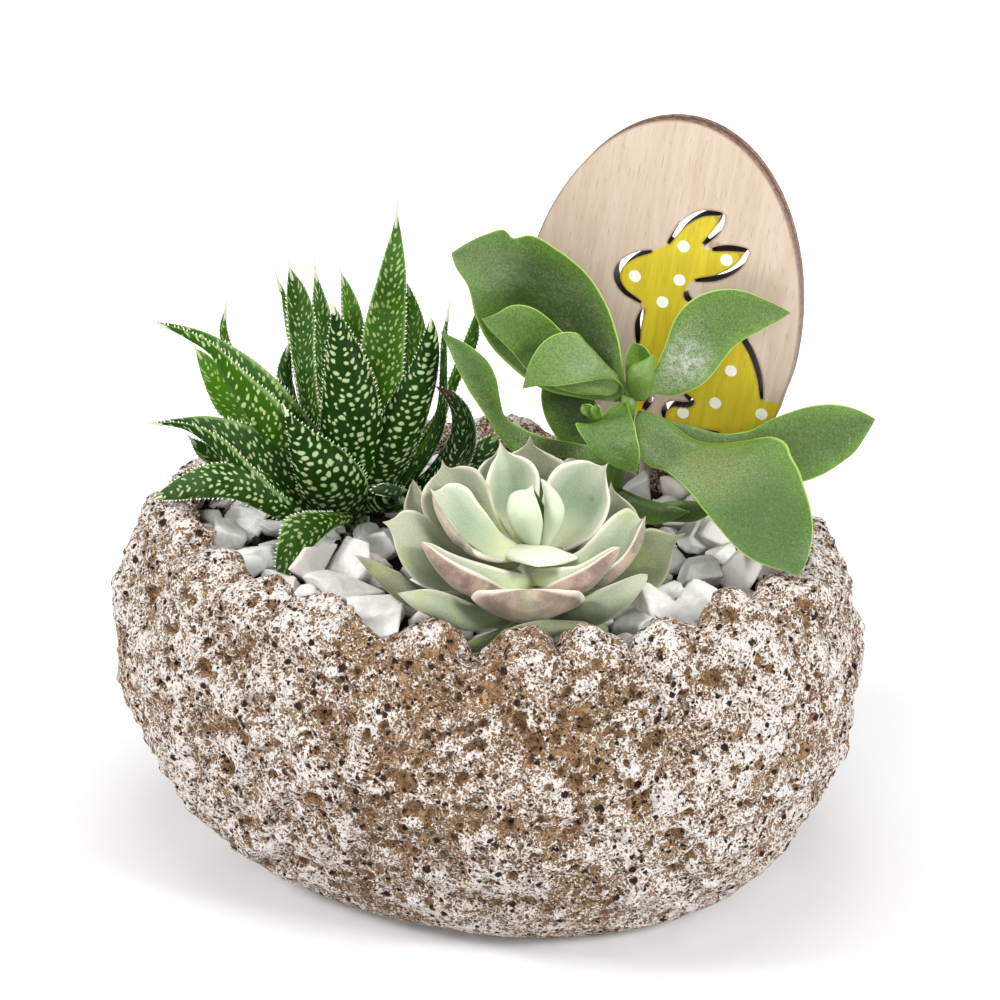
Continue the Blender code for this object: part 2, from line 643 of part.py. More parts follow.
def egg_outline(count=60):
    """Two half ellipses of one width, the upper one taller, and the small bump of the rabbit's tail."""
    for step in range(count):
        turn = 2 * math.pi * step / count
        tall = EGG_ABOVE if math.sin(turn) > 0 else EGG_BELOW
        off = math.remainder(turn - TAIL_TURN, math.tau) / 0.17
        out = 1 + TAIL_BUMP * math.exp(-off * off)
        yield Vector((EGG_HALF_WIDTH * math.cos(turn), tall * math.sin(turn), 0)) * out


def slot_outline(path, fine=3):
    """A slot of even width with pointed ends, along a smooth curve through the path's points."""
    knots = [Vector((x, y, 0)) * MM for x, y in path]
    knots = [2 * knots[0] - knots[1]] + knots + [2 * knots[-1] - knots[-2]]
    line = []
    for a, b, c, d in zip(knots, knots[1:], knots[2:], knots[3:]):
        for step in range(fine):
            t = step / fine
            line.append(0.5 * (2 * b + (c - a) * t + (2 * a - 5 * b + 4 * c - d) * t * t
                               + (3 * b - 3 * c + d - a) * t ** 3))
    line.append(knots[-2])
    left, right = [], []
    last = len(line) - 1
    for index, spot in enumerate(line):
        before, after = line[max(0, index - 1)], line[min(last, index + 1)]
        ahead = (after - before).normalized()
        half = SLOT_WIDTH / 2 * math.sin(math.pi * (index + 0.5) / (last + 1)) ** 0.35
        out = Vector((-ahead.y, ahead.x, 0)) * half
        left.append(spot + out)
        right.append(spot - out)
    return left + right[::-1]


def board_turn():
    """Turns the board's own right, up and front to where they stand in the bowl."""
    right = Vector((math.cos(EGG_YAW), math.sin(EGG_YAW), 0))
    up = Vector((0, 0, 1))
    leaned_right = right * math.cos(EGG_ROLL) - up * math.sin(EGG_ROLL)
    leaned_up = up * math.cos(EGG_ROLL) + right * math.sin(EGG_ROLL)
    front = leaned_right.cross(leaned_up)
    return Matrix((leaned_right, leaned_up, front)).transposed()


def flat_board(name, outline, thick, collection):
    """A flat closed outline as a board of even thickness, made a mesh and stood up in its place."""
    flat = bpy.data.curves.new(name, "CURVE")
    flat.dimensions = "2D"
    flat.fill_mode = "BOTH"
    flat.extrude = thick / 2
    spline = flat.splines.new("POLY")
    spline.points.add(len(outline) - 1)
    spline.use_cyclic_u = True
    for point, spot in zip(spline.points, outline):
        point.co = (*spot, 1.0)
    curve = bpy.data.objects.new(name, flat)
    collection.objects.link(curve)
    bpy.context.view_layer.update()
    made = add_object(name, welded_mesh(curve, name), collection)
    made.location = EGG_CENTRE
    made.rotation_euler = board_turn().to_euler()
    return made


def make_board(collection, tools, finish):
    """The plywood egg, with the rabbit's outline sawn through it."""
    made = flat_board("wooden_egg", list(egg_outline()), EGG_THICK, collection)
    made.data.materials.append(finish)
    slots = bpy.data.collections.new("slots")
    tools.children.link(slots)
    for index, path in enumerate(RABBIT_SLOTS):
        slot = flat_board(f"slot_{index}", slot_outline(path), 3 * EGG_THICK, slots)
        slot.hide_render = True
        slot.display_type = "WIRE"
    saw = made.modifiers.new("saw", "BOOLEAN")
    saw.operation = "DIFFERENCE"
    saw.operand_type = "COLLECTION"
    saw.collection = slots
    saw.solver = "EXACT"
    return made


def make_pick(collection, finish):
    """The round pick that is glued to the board's back and pushed into the soil."""
    bpy.ops.mesh.primitive_cylinder_add(vertices=12, radius=PICK_RADIUS, depth=PICK_HEAD - PICK_FOOT)
    made = bpy.context.active_object
    made.name = "pick"
    made.data.materials.append(finish)
    for holder in list(made.users_collection):
        holder.objects.unlink(made)
    collection.objects.link(made)
    made.location = Vector((PICK_SPOT.x, PICK_SPOT.y, (PICK_HEAD + PICK_FOOT) / 2))
    return made


def make_holes(collection):
    """Cutters for the plain holes that the stems and the pick stand in."""
    holes = []
    for name, spot, radius in (("aloe_hole", ALOE_FOOT, ROOT_RADIUS), ("rosette_hole", ROSETTE_FOOT,
                               ROOT_RADIUS), ("shoot_hole", SHOOT_FOOT, SHOOT_RADIUS),
                               ("pick_hole", PICK_SPOT, PICK_RADIUS)):
        low = (PICK_FOOT if name == "pick_hole" else ROOT_LOW) - GAP
        hole = stub(name, spot, radius + 2 * GAP, low, 100 * MM, (0, 0, 0), collection, sides=16,
                    taper=1.0)
        hole.hide_render = True
        hole.display_type = "WIRE"
        holes.append(hole)
    return holes


def main():
    clear_scene()
    parts = bpy.data.collections.new("potted succulents")
    tools = bpy.data.collections.new("cutters")
    bpy.context.scene.collection.children.link(parts)
    bpy.context.scene.collection.children.link(tools)
    make_pot(parts, material("porous stone", (0.45, 0.36, 0.28), 0.95))
    soil = make_soil(parts, material("potting soil", (0.05, 0.03, 0.02), 1.0))
    chips = make_chips(parts, material("white marble", (0.86, 0.86, 0.84), 0.55))
    for hole in make_holes(tools):
        cut(soil, hole)
        cut(chips, hole)
    make_aloe(parts, material("aloe green", (0.05, 0.2, 0.05), 0.45))
    make_rosette(parts, material("powdery leaf", (0.55, 0.66, 0.5), 0.6))
    make_shoot(parts, material("broad leaf", (0.2, 0.4, 0.13), 0.45))
    wood = material("plywood", (0.72, 0.55, 0.4), 0.7)
    make_board(parts, tools, wood)
    make_pick(parts, wood)


main()
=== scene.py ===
# %% [markdown]
# # A stone egg bowl with three succulents
# The object is a bowl cast in porous stone, formed as an egg that lies on its side with its top
# broken away. White marble chips cover the soil, and a speckled aloe, a powdery rosette, a leafy
# succulent and a plywood egg on a pick stand in it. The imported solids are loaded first, because
# every finer surface below takes its place from them.

import bpy
import numpy as np
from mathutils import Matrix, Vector, geometry


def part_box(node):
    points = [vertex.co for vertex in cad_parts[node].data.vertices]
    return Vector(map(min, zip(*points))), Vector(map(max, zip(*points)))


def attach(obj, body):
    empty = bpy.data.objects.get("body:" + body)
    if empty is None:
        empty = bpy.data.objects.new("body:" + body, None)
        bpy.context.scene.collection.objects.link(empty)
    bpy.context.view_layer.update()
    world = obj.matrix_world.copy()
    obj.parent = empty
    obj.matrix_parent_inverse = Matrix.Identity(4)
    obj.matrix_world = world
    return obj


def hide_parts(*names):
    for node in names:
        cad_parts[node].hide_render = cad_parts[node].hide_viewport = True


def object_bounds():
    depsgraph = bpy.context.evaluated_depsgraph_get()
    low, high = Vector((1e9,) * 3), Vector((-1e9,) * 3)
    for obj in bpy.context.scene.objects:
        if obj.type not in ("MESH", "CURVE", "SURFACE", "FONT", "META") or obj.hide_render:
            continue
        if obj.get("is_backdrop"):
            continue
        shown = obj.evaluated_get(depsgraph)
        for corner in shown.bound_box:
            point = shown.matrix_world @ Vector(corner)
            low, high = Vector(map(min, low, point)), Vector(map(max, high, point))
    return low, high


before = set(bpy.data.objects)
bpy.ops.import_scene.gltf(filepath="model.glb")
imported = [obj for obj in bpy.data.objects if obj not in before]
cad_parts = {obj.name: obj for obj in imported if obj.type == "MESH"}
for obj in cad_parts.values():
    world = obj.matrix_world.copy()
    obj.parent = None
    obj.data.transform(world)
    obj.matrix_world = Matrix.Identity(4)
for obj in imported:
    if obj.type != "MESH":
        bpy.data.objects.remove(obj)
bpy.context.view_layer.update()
print("solids:", sorted(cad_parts))

# %% [markdown]
# ## Where the viewer stands
# The planting faces the viewer, a little to the right of the bowl's long side. All shapes are
# worked out in millimetres, as arrays. Plants are easiest to measure as the viewer sees them, so
# three directions are kept: to the viewer's right, away from the viewer, and up.

# %% Directions
FACING = np.radians(14)
RIGHT = np.array([np.cos(FACING), np.sin(FACING), 0.0])
AWAY = np.array([-np.sin(FACING), np.cos(FACING), 0.0])
UP = np.array([0.0, 0.0, 1.0])


def unit(v):
    """Each vector divided by its own length."""
    return v / np.maximum(np.linalg.norm(v, axis=-1, keepdims=True), 1e-9)


print("away:", AWAY.round(3))

# %% Camera
CAMERA_RISE = np.radians(25)
CAMERA_FAR = 728.0
LENS, SENSOR, PICTURE = 100.0, 36.0, 1000
LOOK_AT = np.array([-6.0, 0.0, 100.0])
BACK = UP * np.sin(CAMERA_RISE) - AWAY * np.cos(CAMERA_RISE)
EYE = LOOK_AT + BACK * CAMERA_FAR

lens = bpy.data.cameras.new("viewpoint")
lens.lens = LENS
lens.sensor_width = SENSOR
lens.clip_start = 0.05
lens.clip_end = 30.0
camera = bpy.data.objects.new("viewpoint", lens)
bpy.context.scene.collection.objects.link(camera)
camera.location = EYE / 1000
camera.rotation_euler = Vector(-BACK).to_track_quat("-Z", "Y").to_euler()
bpy.context.scene.camera = camera
print("camera at", (EYE / 1000).round(3))


# %% A pixel's place on a level, or at a distance
def pixel_rays(x, y):
    """Rays from the eye: the pixel's offset over the focal length, less the back vector."""
    focal, middle = PICTURE * LENS / SENSOR, PICTURE / 2
    across, up = ((x - middle) / focal)[:, None], ((middle - y) / focal)[:, None]
    return across * RIGHT + up * np.cross(BACK, RIGHT) - BACK


def under_pixel(x, y, height):
    """The eye, plus the ray times the drop to the level over the ray's own drop."""
    ray = pixel_rays(x, y)
    return EYE + ray * ((height - EYE[2]) / ray[:, 2])[:, None]


def behind_pixel(x, y, away):
    """The eye, plus the ray times the way to the upright plane over the ray's own way to it."""
    ray = pixel_rays(x, y)
    return EYE + ray * ((away - EYE @ AWAY) / (ray @ AWAY))[:, None]


def mark(x, y, away):
    """One point behind a pixel."""
    return behind_pixel(np.array([float(x)]), np.array([float(y)]), away)[0].tolist()


middle = np.array([PICTURE / 2])
print("the middle pixel meets the ground at", under_pixel(middle, middle, 0).round(1))

# %% [markdown]
# ## Surfaces as arrays
# Nearly everything here is a closed skin: rings of points, with one pole point before the first
# ring and one after the last. One function joins the rings with triangles, and another turns the
# arrays into a Blender mesh. Masks, one number at each point, go along as attributes, so that a
# finish can follow the shape.


# %% Closed skins
def round_turn(count):
    """Even angles of one whole turn."""
    return np.linspace(0, 2 * np.pi, count, endpoint=False)


def facing_out(points, faces):
    """The faces, turned round where their signed volume, Σ a·(b × c) / 6, is negative."""
    a, b, c = (points[faces[:, k]] for k in range(3))
    return faces[:, ::-1] if np.einsum("ij,ij->i", a, np.cross(b, c)).sum() < 0 else faces


def closed_skin(rings, first, last):
    """Triangles over rings[i, j] and its neighbours i + 1 and j + 1, and fans to the two poles."""
    count, around = rings.shape[:2]
    points = np.concatenate([[first], rings.reshape(-1, 3), [last]])
    grid = 1 + np.arange(count * around).reshape(count, around)
    beside = np.roll(grid, -1, axis=1)
    a, b, c, d = grid[:-1], beside[:-1], beside[1:], grid[1:]
    sides = [np.stack(three, -1).reshape(-1, 3) for three in ((a, b, c), (a, c, d))]
    low = np.stack([np.zeros(around, int), beside[0], grid[0]], -1)
    high = np.stack([grid[-1], beside[-1], np.full(around, len(points) - 1)], -1)
    return points, facing_out(points, np.concatenate(sides + [low, high]))


def with_poles(values, first, last):
    """A ring mask laid out as closed_skin lays out its points."""
    return np.concatenate([[first], np.asarray(values, float).ravel(), [last]])


def gathered(shells):
    """Several (points, faces, masks) as one, each shell's faces counted on from the last one's."""
    starts = np.cumsum([0] + [len(s[0]) for s in shells[:-1]])
    masks = {key: np.concatenate([s[2][key] for s in shells]) for key in shells[0][2]}
    faces = np.concatenate([s[1] + start for s, start in zip(shells, starts)])
    return np.concatenate([s[0] for s in shells]), faces, masks


# %% Pieces of the object
def add_piece(name, shell, finishes, node, kinds=None):
    """A mesh from (points, faces, masks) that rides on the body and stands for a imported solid."""
    points, faces, masks = shell
    mesh = bpy.data.meshes.new(name)
    mesh.vertices.add(len(points))
    mesh.vertices.foreach_set("co", (points / 1000).astype(np.float32).ravel())
    mesh.loops.add(3 * len(faces))
    mesh.loops.foreach_set("vertex_index", faces.astype(np.int32).ravel())
    mesh.polygons.add(len(faces))
    mesh.polygons.foreach_set("loop_start", np.arange(0, 3 * len(faces), 3, dtype=np.int32))
    for finish in finishes:
        mesh.materials.append(finish)
    if kinds is not None:
        mesh.polygons.foreach_set("material_index", kinds.astype(np.int32))
    mesh.update(calc_edges=True)
    for key, values in masks.items():
        flat = values.ndim == 1
        kept = mesh.attributes.new(key, "FLOAT" if flat else "FLOAT_VECTOR", "POINT")
        kept.data.foreach_set("value" if flat else "vector", values.astype(np.float32).ravel())
    mesh.shade_smooth()
    piece = bpy.data.objects.new(name, mesh)
    bpy.context.scene.collection.objects.link(piece)
    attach(piece, "root")
    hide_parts(node)
    low, high = points.min(0), points.max(0)
    print(f"{name}: {len(faces)} triangles, {(high - low).round(1)} mm, from {low.round(1)}")
    return piece


# %% [markdown]
# ## Unevenness
# Stone, soil and leaves are never even. Two patterns give all of it: soft noise, which blends
# random numbers between the corners of a lattice, and cells, which measure how far a point is from
# the nearest of one random spot per lattice box. Cells make bubbles, pits and grains.


# %% Noise on arrays
def corner_number(corner, seed):
    """A repeatable number from 0 to 1 for a lattice corner: its whole numbers times large primes,
    mixed by shifts.
    """
    c = corner.astype(np.int64)
    n = c[:, 0] * 73856093 ^ c[:, 1] * 19349663 ^ c[:, 2] * 83492791 ^ (seed * 2654435761)
    n = (n ^ (n >> 13)) & 0xFFFFFFFF
    n = (n * 1274126177) & 0xFFFFFFFF
    n = ((n ^ (n >> 15)) * 2246822519) & 0xFFFFFFFF
    return ((n ^ (n >> 16)) & 0xFFFFFF) / 0xFFFFFF


def soft_noise(points, size, seed):
    """Between -1 and 1: corner numbers blended along each axis by the smooth step 3t² - 2t³."""
    q = points / size
    corner = np.floor(q)
    t = q - corner
    t = t * t * (3 - 2 * t)
    total = np.zeros(len(points))
    for step in np.ndindex(2, 2, 2):
        weight = np.prod(np.where(np.array(step) == 1, t, 1 - t), axis=1)
        total += weight * corner_number(corner + step, seed)
    return 2 * total - 1


def nearest_spot(points, size, seed):
    """Distance in cell sizes to the nearest random spot, and that spot's own number."""
    q = points / size
    box = np.floor(q)
    best = np.full(len(points), 9.0)
    number = np.zeros(len(points))
    for step in np.ndindex(3, 3, 3):
        cell = box + np.array(step) - 1
        spot = cell + np.stack([corner_number(cell, seed + k) for k in (1, 2, 3)], -1)
        far = np.linalg.norm(q - spot, axis=1)
        own = corner_number(cell, seed + 4)
        closer = far < best
        best = np.where(closer, far, best)
        number = np.where(closer, own, number)
    return best, number


print("noise check:", soft_noise(np.array([[1.5, 2.5, 3.5]]), 1.0, 1).round(3))

# %% [markdown]
# ## Finishes from nodes
# A finish is a tree of nodes that ends in the Principled shader. What a socket gives out is wrapped
# as a signal here, so that + - * / write sums as they are said, and a few short helpers add ranges,
# coats of colour and noise. Colours are written as they look on a screen, from 0 to 255, and turned
# into light.


# %% Signals
class Signal:
    """What a socket gives out over a surface. Each of + - * / adds a Math node to its tree."""

    def __init__(self, socket):
        self.socket, self.tree = socket, socket.id_data

    def math(self, operation, *values):
        """What a Math node makes of some values."""
        return put(self.tree, "Math", dict(enumerate(values)), operation=operation)

    def __add__(self, other):
        return self.math("ADD", self, other)

    def __sub__(self, other):
        return self.math("SUBTRACT", self, other)

    def __rsub__(self, other):
        return self.math("SUBTRACT", other, self)

    def __mul__(self, other):
        return self.math("MULTIPLY", self, other)

    def __truediv__(self, other):
        return self.math("DIVIDE", self, other)

    def __abs__(self):
        return self.math("ABSOLUTE", self)


def put(tree, kind, sockets=None, give=0, **settings):
    """A node with its settings, its sockets linked or given a value; returns what give names."""
    made = tree.nodes.new("ShaderNode" + kind)
    for key, value in settings.items():
        setattr(made, key, value)
    fill(made, sockets or {})
    if isinstance(give, tuple):
        return [Signal(made.outputs[key]) for key in give]
    return Signal(made.outputs[give])


def fill(node, sockets):
    """Gives each of a node's sockets its signal or its value."""
    for key, value in sockets.items():
        if isinstance(value, Signal):
            value.tree.links.new(value.socket, node.inputs[key])
        else:
            node.inputs[key].default_value = value


# %% Node helpers
def colour(r, g, b):
    """Screen values to linear light: v / 12.92 when dark, ((v + 0.055) / 1.055)^2.4 otherwise."""
    v = np.array([r, g, b]) / 255
    light = np.where(v <= 0.04045, v / 12.92, ((v + 0.055) / 1.055) ** 2.4)
    return (*light.tolist(), 1.0)


def clamped(signal):
    """The signal of a Math node, kept between 0 and 1."""
    signal.socket.node.use_clamp = True
    return signal


def highest(first, *others):
    """The largest of some signals."""
    for other in others:
        first = first.math("MAXIMUM", first, other)
    return first


def ranged(value, low, high, to_high=1.0, to_low=0.0):
    """Smooth step of value between low and high, from to_low up or down to to_high."""
    return put(value.tree, "MapRange", {"Value": value, "From Min": low, "From Max": high,
                                        "To Min": to_low, "To Max": to_high},
               interpolation_type="SMOOTHSTEP")


def mixed(share, a, b):
    """From a to b by a share. Each is a signal or a screen colour."""
    a, b = (side if isinstance(side, Signal) else colour(*side) for side in (a, b))
    return put(share.tree, "Mix", {0: share, 6: a, 7: b}, 2, data_type="RGBA", clamp_factor=True)


def coated(base, *coats):
    """Coats over a base, from the lowest: each is a share and a colour."""
    for share, tone in coats:
        base = mixed(share, base, tone)
    return base


def masks(tree, *names):
    """Float attributes of the piece."""
    return [put(tree, "Attribute", give="Fac", attribute_name=name) for name in names]


def millimetres(tree):
    """Object coordinates, which are metres here, counted in millimetres."""
    place = put(tree, "TexCoord", give="Object")
    return put(tree, "Mapping", {"Vector": place, "Scale": (1000, 1000, 1000)})


def speckle(where, scale, detail=2.0, rough=0.5, bend=0.0):
    """Noise from 0 to 1 whose features are about 1 / scale millimetres across."""
    return put(where.tree, "TexNoise", {"Vector": where, "Scale": scale, "Detail": detail,
                                        "Roughness": rough, "Distortion": bend}, "Fac")


def pushed(where, scale, detail, amounts):
    """A place moved by a noise's colour times some amounts along x, y and z."""
    def joined(operation, a, b):
        return put(where.tree, "VectorMath", {0: a, 1: b}, operation=operation)

    wobble = put(where.tree, "TexNoise", {"Vector": millimetres(where.tree), "Scale": scale,
                                          "Detail": detail}, "Color")
    return joined("ADD", where, joined("MULTIPLY", wobble, amounts))


def close_to(where, place, gone, full):
    """1 within full millimetres of a place, falling to 0 at gone millimetres."""
    far = put(where.tree, "VectorMath", {0: where, 1: place}, "Value", operation="DISTANCE")
    return ranged(far, gone, full)


def lit_within(weight, depth, colour_shares):
    """Light goes up to depth metres into the surface, each colour by a share of that."""
    return {"Subsurface Weight": weight, "Subsurface Scale": depth,
            "Subsurface Radius": colour_shares}


def new_finish(name, roughness, values=None):
    """A material, and its tree, whose Principled shader has these values."""
    made = bpy.data.materials.new(name)
    made.use_nodes = True
    fill(made.node_tree.nodes["Principled BSDF"], {"Roughness": roughness, **(values or {})})
    return made, made.node_tree


def finish_with(made, base, height, depth, roughness=None):
    """Links the colour, the roughness and a bump whose full height is depth millimetres."""
    bump = put(base.tree, "Bump", {"Height": height, "Distance": depth / 1000, "Strength": 1.0})
    sockets = {"Base Color": base, "Normal": bump}
    if roughness is not None:
        sockets["Roughness"] = roughness
    fill(made.node_tree.nodes["Principled BSDF"], sockets)
    return made


# %% Shared node groups
def new_group(name, **inputs):
    """A node group with a Vector and some floats going in, and the signals that they bring."""
    group = bpy.data.node_groups.new(name, "ShaderNodeTree")
    group.interface.new_socket("Vector", in_out="INPUT", socket_type="NodeSocketVector")
    for key, value in inputs.items():
        made = group.interface.new_socket(key, in_out="INPUT", socket_type="NodeSocketFloat")
        made.default_value = value
    given = group.nodes.new("NodeGroupInput").outputs
    return group, [Signal(given[key]) for key in ("Vector", *inputs)]


def give_out(group, **signals):
    """Links each signal to an output of the group that bears its name."""
    for key in signals:
        group.interface.new_socket(key, in_out="OUTPUT", socket_type="NodeSocketFloat")
    fill(group.nodes.new("NodeGroupOutput"), signals)


def use(group, where, give, **values):
    """What a group gives out at a place."""
    return put(where.tree, "Group", {"Vector": where, **values}, give, node_tree=group)


# Round spots: a share of the cells holds one, and each has a radius of its own
SPOTS, (place, scale, share, radius) = new_group("round spots", Scale=1.0, Share=0.5, Radius=0.3)
distance, number = put(SPOTS, "TexVoronoi", {"Vector": place, "Scale": scale},
                       ("Distance", "Color"))
chance, width, kind = put(SPOTS, "SeparateColor", {0: number}, (0, 1, 2))
there = chance.math("LESS_THAN", chance, share)
near = clamped(1.0 - distance / (radius * (width * 0.55 + 0.45)))
band = clamped(1.0 - abs(near * 5.0 - 1.2))
give_out(SPOTS, Depth=near * there, Mask=ranged(near, 0.0, 0.3) * there,
         Ring=band * there * kind.math("LESS_THAN", kind, 0.35))

# Patches: noise cut at a threshold, soft or crisp
PATCHES, (place, scale, detail, bend, cut, soft) = new_group(
    "patches", Scale=1.0, Detail=3.0, Bend=0.0, Cut=0.5, Soft=0.1)
cloud = speckle(place, scale, detail, 0.6, bend)
give_out(PATCHES, Mask=ranged(cloud, cut - soft, cut + soft))
print("node groups:", [g.name for g in bpy.data.node_groups])

# %% [markdown]
# ## The bowl
# The bowl is the lower part of an egg that lies on its side, cast in grey-brown stone full of
# bubbles. Its rim is broken into rounded lumps. The form is worked out as one closed skin: from
# the flat spot that it stands on, up the outside, over the rim, down the inside and across its
# floor. Dents, grains and pits then push that skin along its own normals.

# %% Measures of the bowl
BLUNT, POINTED, HALF_WIDTH, HALF_DEPTH, MIDDLE = 90.0, 112.0, 77.0, 84.0, 57.6
WALL, FLOOR = 12.0, 14.0
# rings of the skin on the foot, up the outside, over the lip and down the inside to a level
FOOT_ROWS, OUTER_ROWS, LIP_ROWS, INNER_ROWS, INNER_LOW = 5, 130, 15, 11, 72
# columns for each degree, on the side that is looked at most and on the other
NEAR_COLUMNS, FAR_COLUMNS, NEAR_FROM = 2.15, 1.25, 190
# degrees round the bowl and height in mm of each break in the rim: peak, notch, peak, notch ...
BREAKS = np.array([
    (4, 95), (12, 91.5), (20, 96), (28, 92), (36, 96.5), (44, 91.5), (52, 95), (61, 91), (69, 96.5),
    (78, 91.5), (86, 95.5), (94, 91), (102, 96.5), (110, 92), (118, 95.5), (127, 91), (135, 96.5),
    (144, 92), (152, 96), (160, 91.5), (168, 96.5), (176, 92.5), (184, 97.5), (192, 94), (198, 98),
    (203, 95), (208, 98), (214, 93.6), (220, 96.5), (230, 92.3), (235, 96.5), (241, 92.5),
    (245, 96.8), (257, 89), (265, 95), (272, 88.6), (282, 95.5), (288, 91), (294, 97),
    (301.5, 90.4), (309, 96.5), (318, 91.2), (328, 98), (335.5, 94), (343, 96), (351, 91.5)], float)


def egg(turn, height, inset=0.0):
    """x and y are the half lengths less the inset, times cos and sin of the turn, times
    √(1 - rise²), where rise is the height above the egg's middle as a share of its half depth.
    """
    rise = (height - MIDDLE) / (HALF_DEPTH - inset)
    level = np.sqrt(np.maximum(0, 1 - rise * rise))
    x, y = level * np.cos(turn), level * np.sin(turn)
    x = x * (np.where(x > 0, BLUNT, POINTED) - inset)
    return np.stack(np.broadcast_arrays(x, y * (HALF_WIDTH - inset), height), -1)


# Columns are shared out between the breaks
ends = np.concatenate([BREAKS, [[BREAKS[0, 0] + 360, BREAKS[0, 1]]]])
turns, rim, crest = [], [], []
for (here, low), (there, high) in zip(ends, ends[1:]):
    count = int(round((there - here) * (NEAR_COLUMNS if here > NEAR_FROM else FAR_COLUMNS)))
    t = np.arange(count) / count
    bow = np.sin(np.pi / 2 * t) if high > low else 1 - np.sin(np.pi / 2 * (1 - t))
    turns.append(np.radians(here + (there - here) * t))
    rim.append(low + (high - low) * bow)
    crest.append(bow if high > low else 1 - bow)
turns, rim, crest = np.concatenate(turns), np.concatenate(rim), np.concatenate(crest)
round_rim = np.stack([BLUNT * np.cos(turns), HALF_WIDTH * np.sin(turns), 0 * turns], -1)
rim = rim + 0.55 * soft_noise(round_rim, 2.6, 2) + 0.5 * soft_noise(round_rim, 5, 1)
print(f"{len(turns)} columns, rim from {rim.min():.1f} to {rim.max():.1f} mm")


# %% The bowl's even form
def bowl_rings():
    """Rings of the bowl's even form, and how much relief each may take."""
    rings, relief = [], []
    for part in np.linspace(0.2, 1, FOOT_ROWS):
        spot = egg(turns, np.zeros_like(turns), 5.5) * part
        spot[:, 2] = 0
        rings.append(spot)
        relief.append(0.0)
    for part in np.linspace(0, 1, OUTER_ROWS):
        height = 1.2 + (rim - 4.2 - 1.2) * part ** 0.94
        near_rim = np.clip(1 - (rim - height) / 13, 0, 1)
        point = egg(turns, height, 3.0 * np.maximum(0, 1 - height / 8) ** 2)
        out = unit(np.stack([point[:, 0], point[:, 1], (height - MIDDLE) * 0.9], -1))
        rings.append(point + out * (0.9 * crest * near_rim)[:, None])
        relief.append(min(1.0, 6 * part))
    for part in np.linspace(0.04, 1, LIP_ROWS):
        drop = 3.4 * np.abs(2 * part - 1) ** 2.4
        point = egg(turns, rim - drop, WALL * part)
        out = unit(point * [1, 1, 0])
        rings.append(point + out * (0.9 * crest * (1 - part))[:, None])
        relief.append(1.0 - 0.25 * part)
    for part in np.linspace(0.06, 1, INNER_ROWS):
        height = (rim - 3.6) * (1 - part) + INNER_LOW * part
        rings.append(egg(turns, height, WALL))
        relief.append(0.7 * (1 - part))
    for part in (0.4, 1.0):
        rings.append(egg(turns, INNER_LOW * (1 - part) + FLOOR * part + 0 * turns, WALL))
        relief.append(0.0)
    return np.array(rings), np.array(relief)


form, may_take = bowl_rings()
run = np.roll(form, -1, 1) - np.roll(form, 1, 1)
climb = np.gradient(form, axis=0)
outward = unit(np.cross(run, climb))
print("bowl rings:", form.shape)


# %% Stone relief
# cell size in mm, seed, share of cells with a pit, its radius in cells and its depth in mm
PITS = ((11, 11, 0.4, 0.24, 2.8), (6.5, 31, 0.5, 0.26, 2.3), (3.9, 51, 0.6, 0.33, 1.7))


def wobbled(points, size, seed):
    """Noise of its own along each axis."""
    return np.stack([soft_noise(points, size, seed + k) for k in range(3)], -1)


def stone_relief(points):
    """Swells at 24 and 10 mm, scabs with steep sides, grains, less round pits. A scab is noise
    times 5 or 6, cut off at -1 and 1. A pit is depth × (1 - (distance / radius)²)^0.4 deep.
    """
    bent = points + 0.9 * wobbled(points, 3.4, 15)
    broad = 0.9 * soft_noise(points, 24, 3) + 1.1 * soft_noise(points, 10, 4)
    scab = (0.65 * np.clip(5 * soft_noise(bent, 7.5, 8), -1, 1)
            + 0.3 * np.clip(6 * soft_noise(bent, 3.6, 9), -1, 1))
    fine = scab + 0.7 * soft_noise(bent, 4.6, 5) + 0.6 * soft_noise(points, 2.2, 6)
    hollow = np.zeros(len(points))
    for size, seed, share, radius, depth in PITS:
        far, number = nearest_spot(bent, size, seed)
        own_radius = radius * (0.55 + 0.6 * number / share)
        inside = np.clip(1 - (far / own_radius) ** 2, 0, 1) ** 0.4 * (number < share)
        hollow = np.maximum(hollow, inside * depth)
    return broad, fine, hollow


flat_points = form.reshape(-1, 3)
broad_swell, fine_swell, hollow = stone_relief(flat_points)
room = np.repeat(may_take, len(turns))
push = (broad_swell + fine_swell - 0.4 - hollow) * room
moved = flat_points + outward.reshape(-1, 3) * push[:, None]
cad_pot = [np.array(c) * 1000 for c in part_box("pot")]
moved = np.clip(moved, cad_pot[0] + [-0.4, -0.4, 0], cad_pot[1] + [0.4, 0.4, 3])
bowl_form = moved.reshape(form.shape)
print("pits reach", hollow.max().round(2), "mm; fine relief up to", fine_swell.max().round(2), "mm")
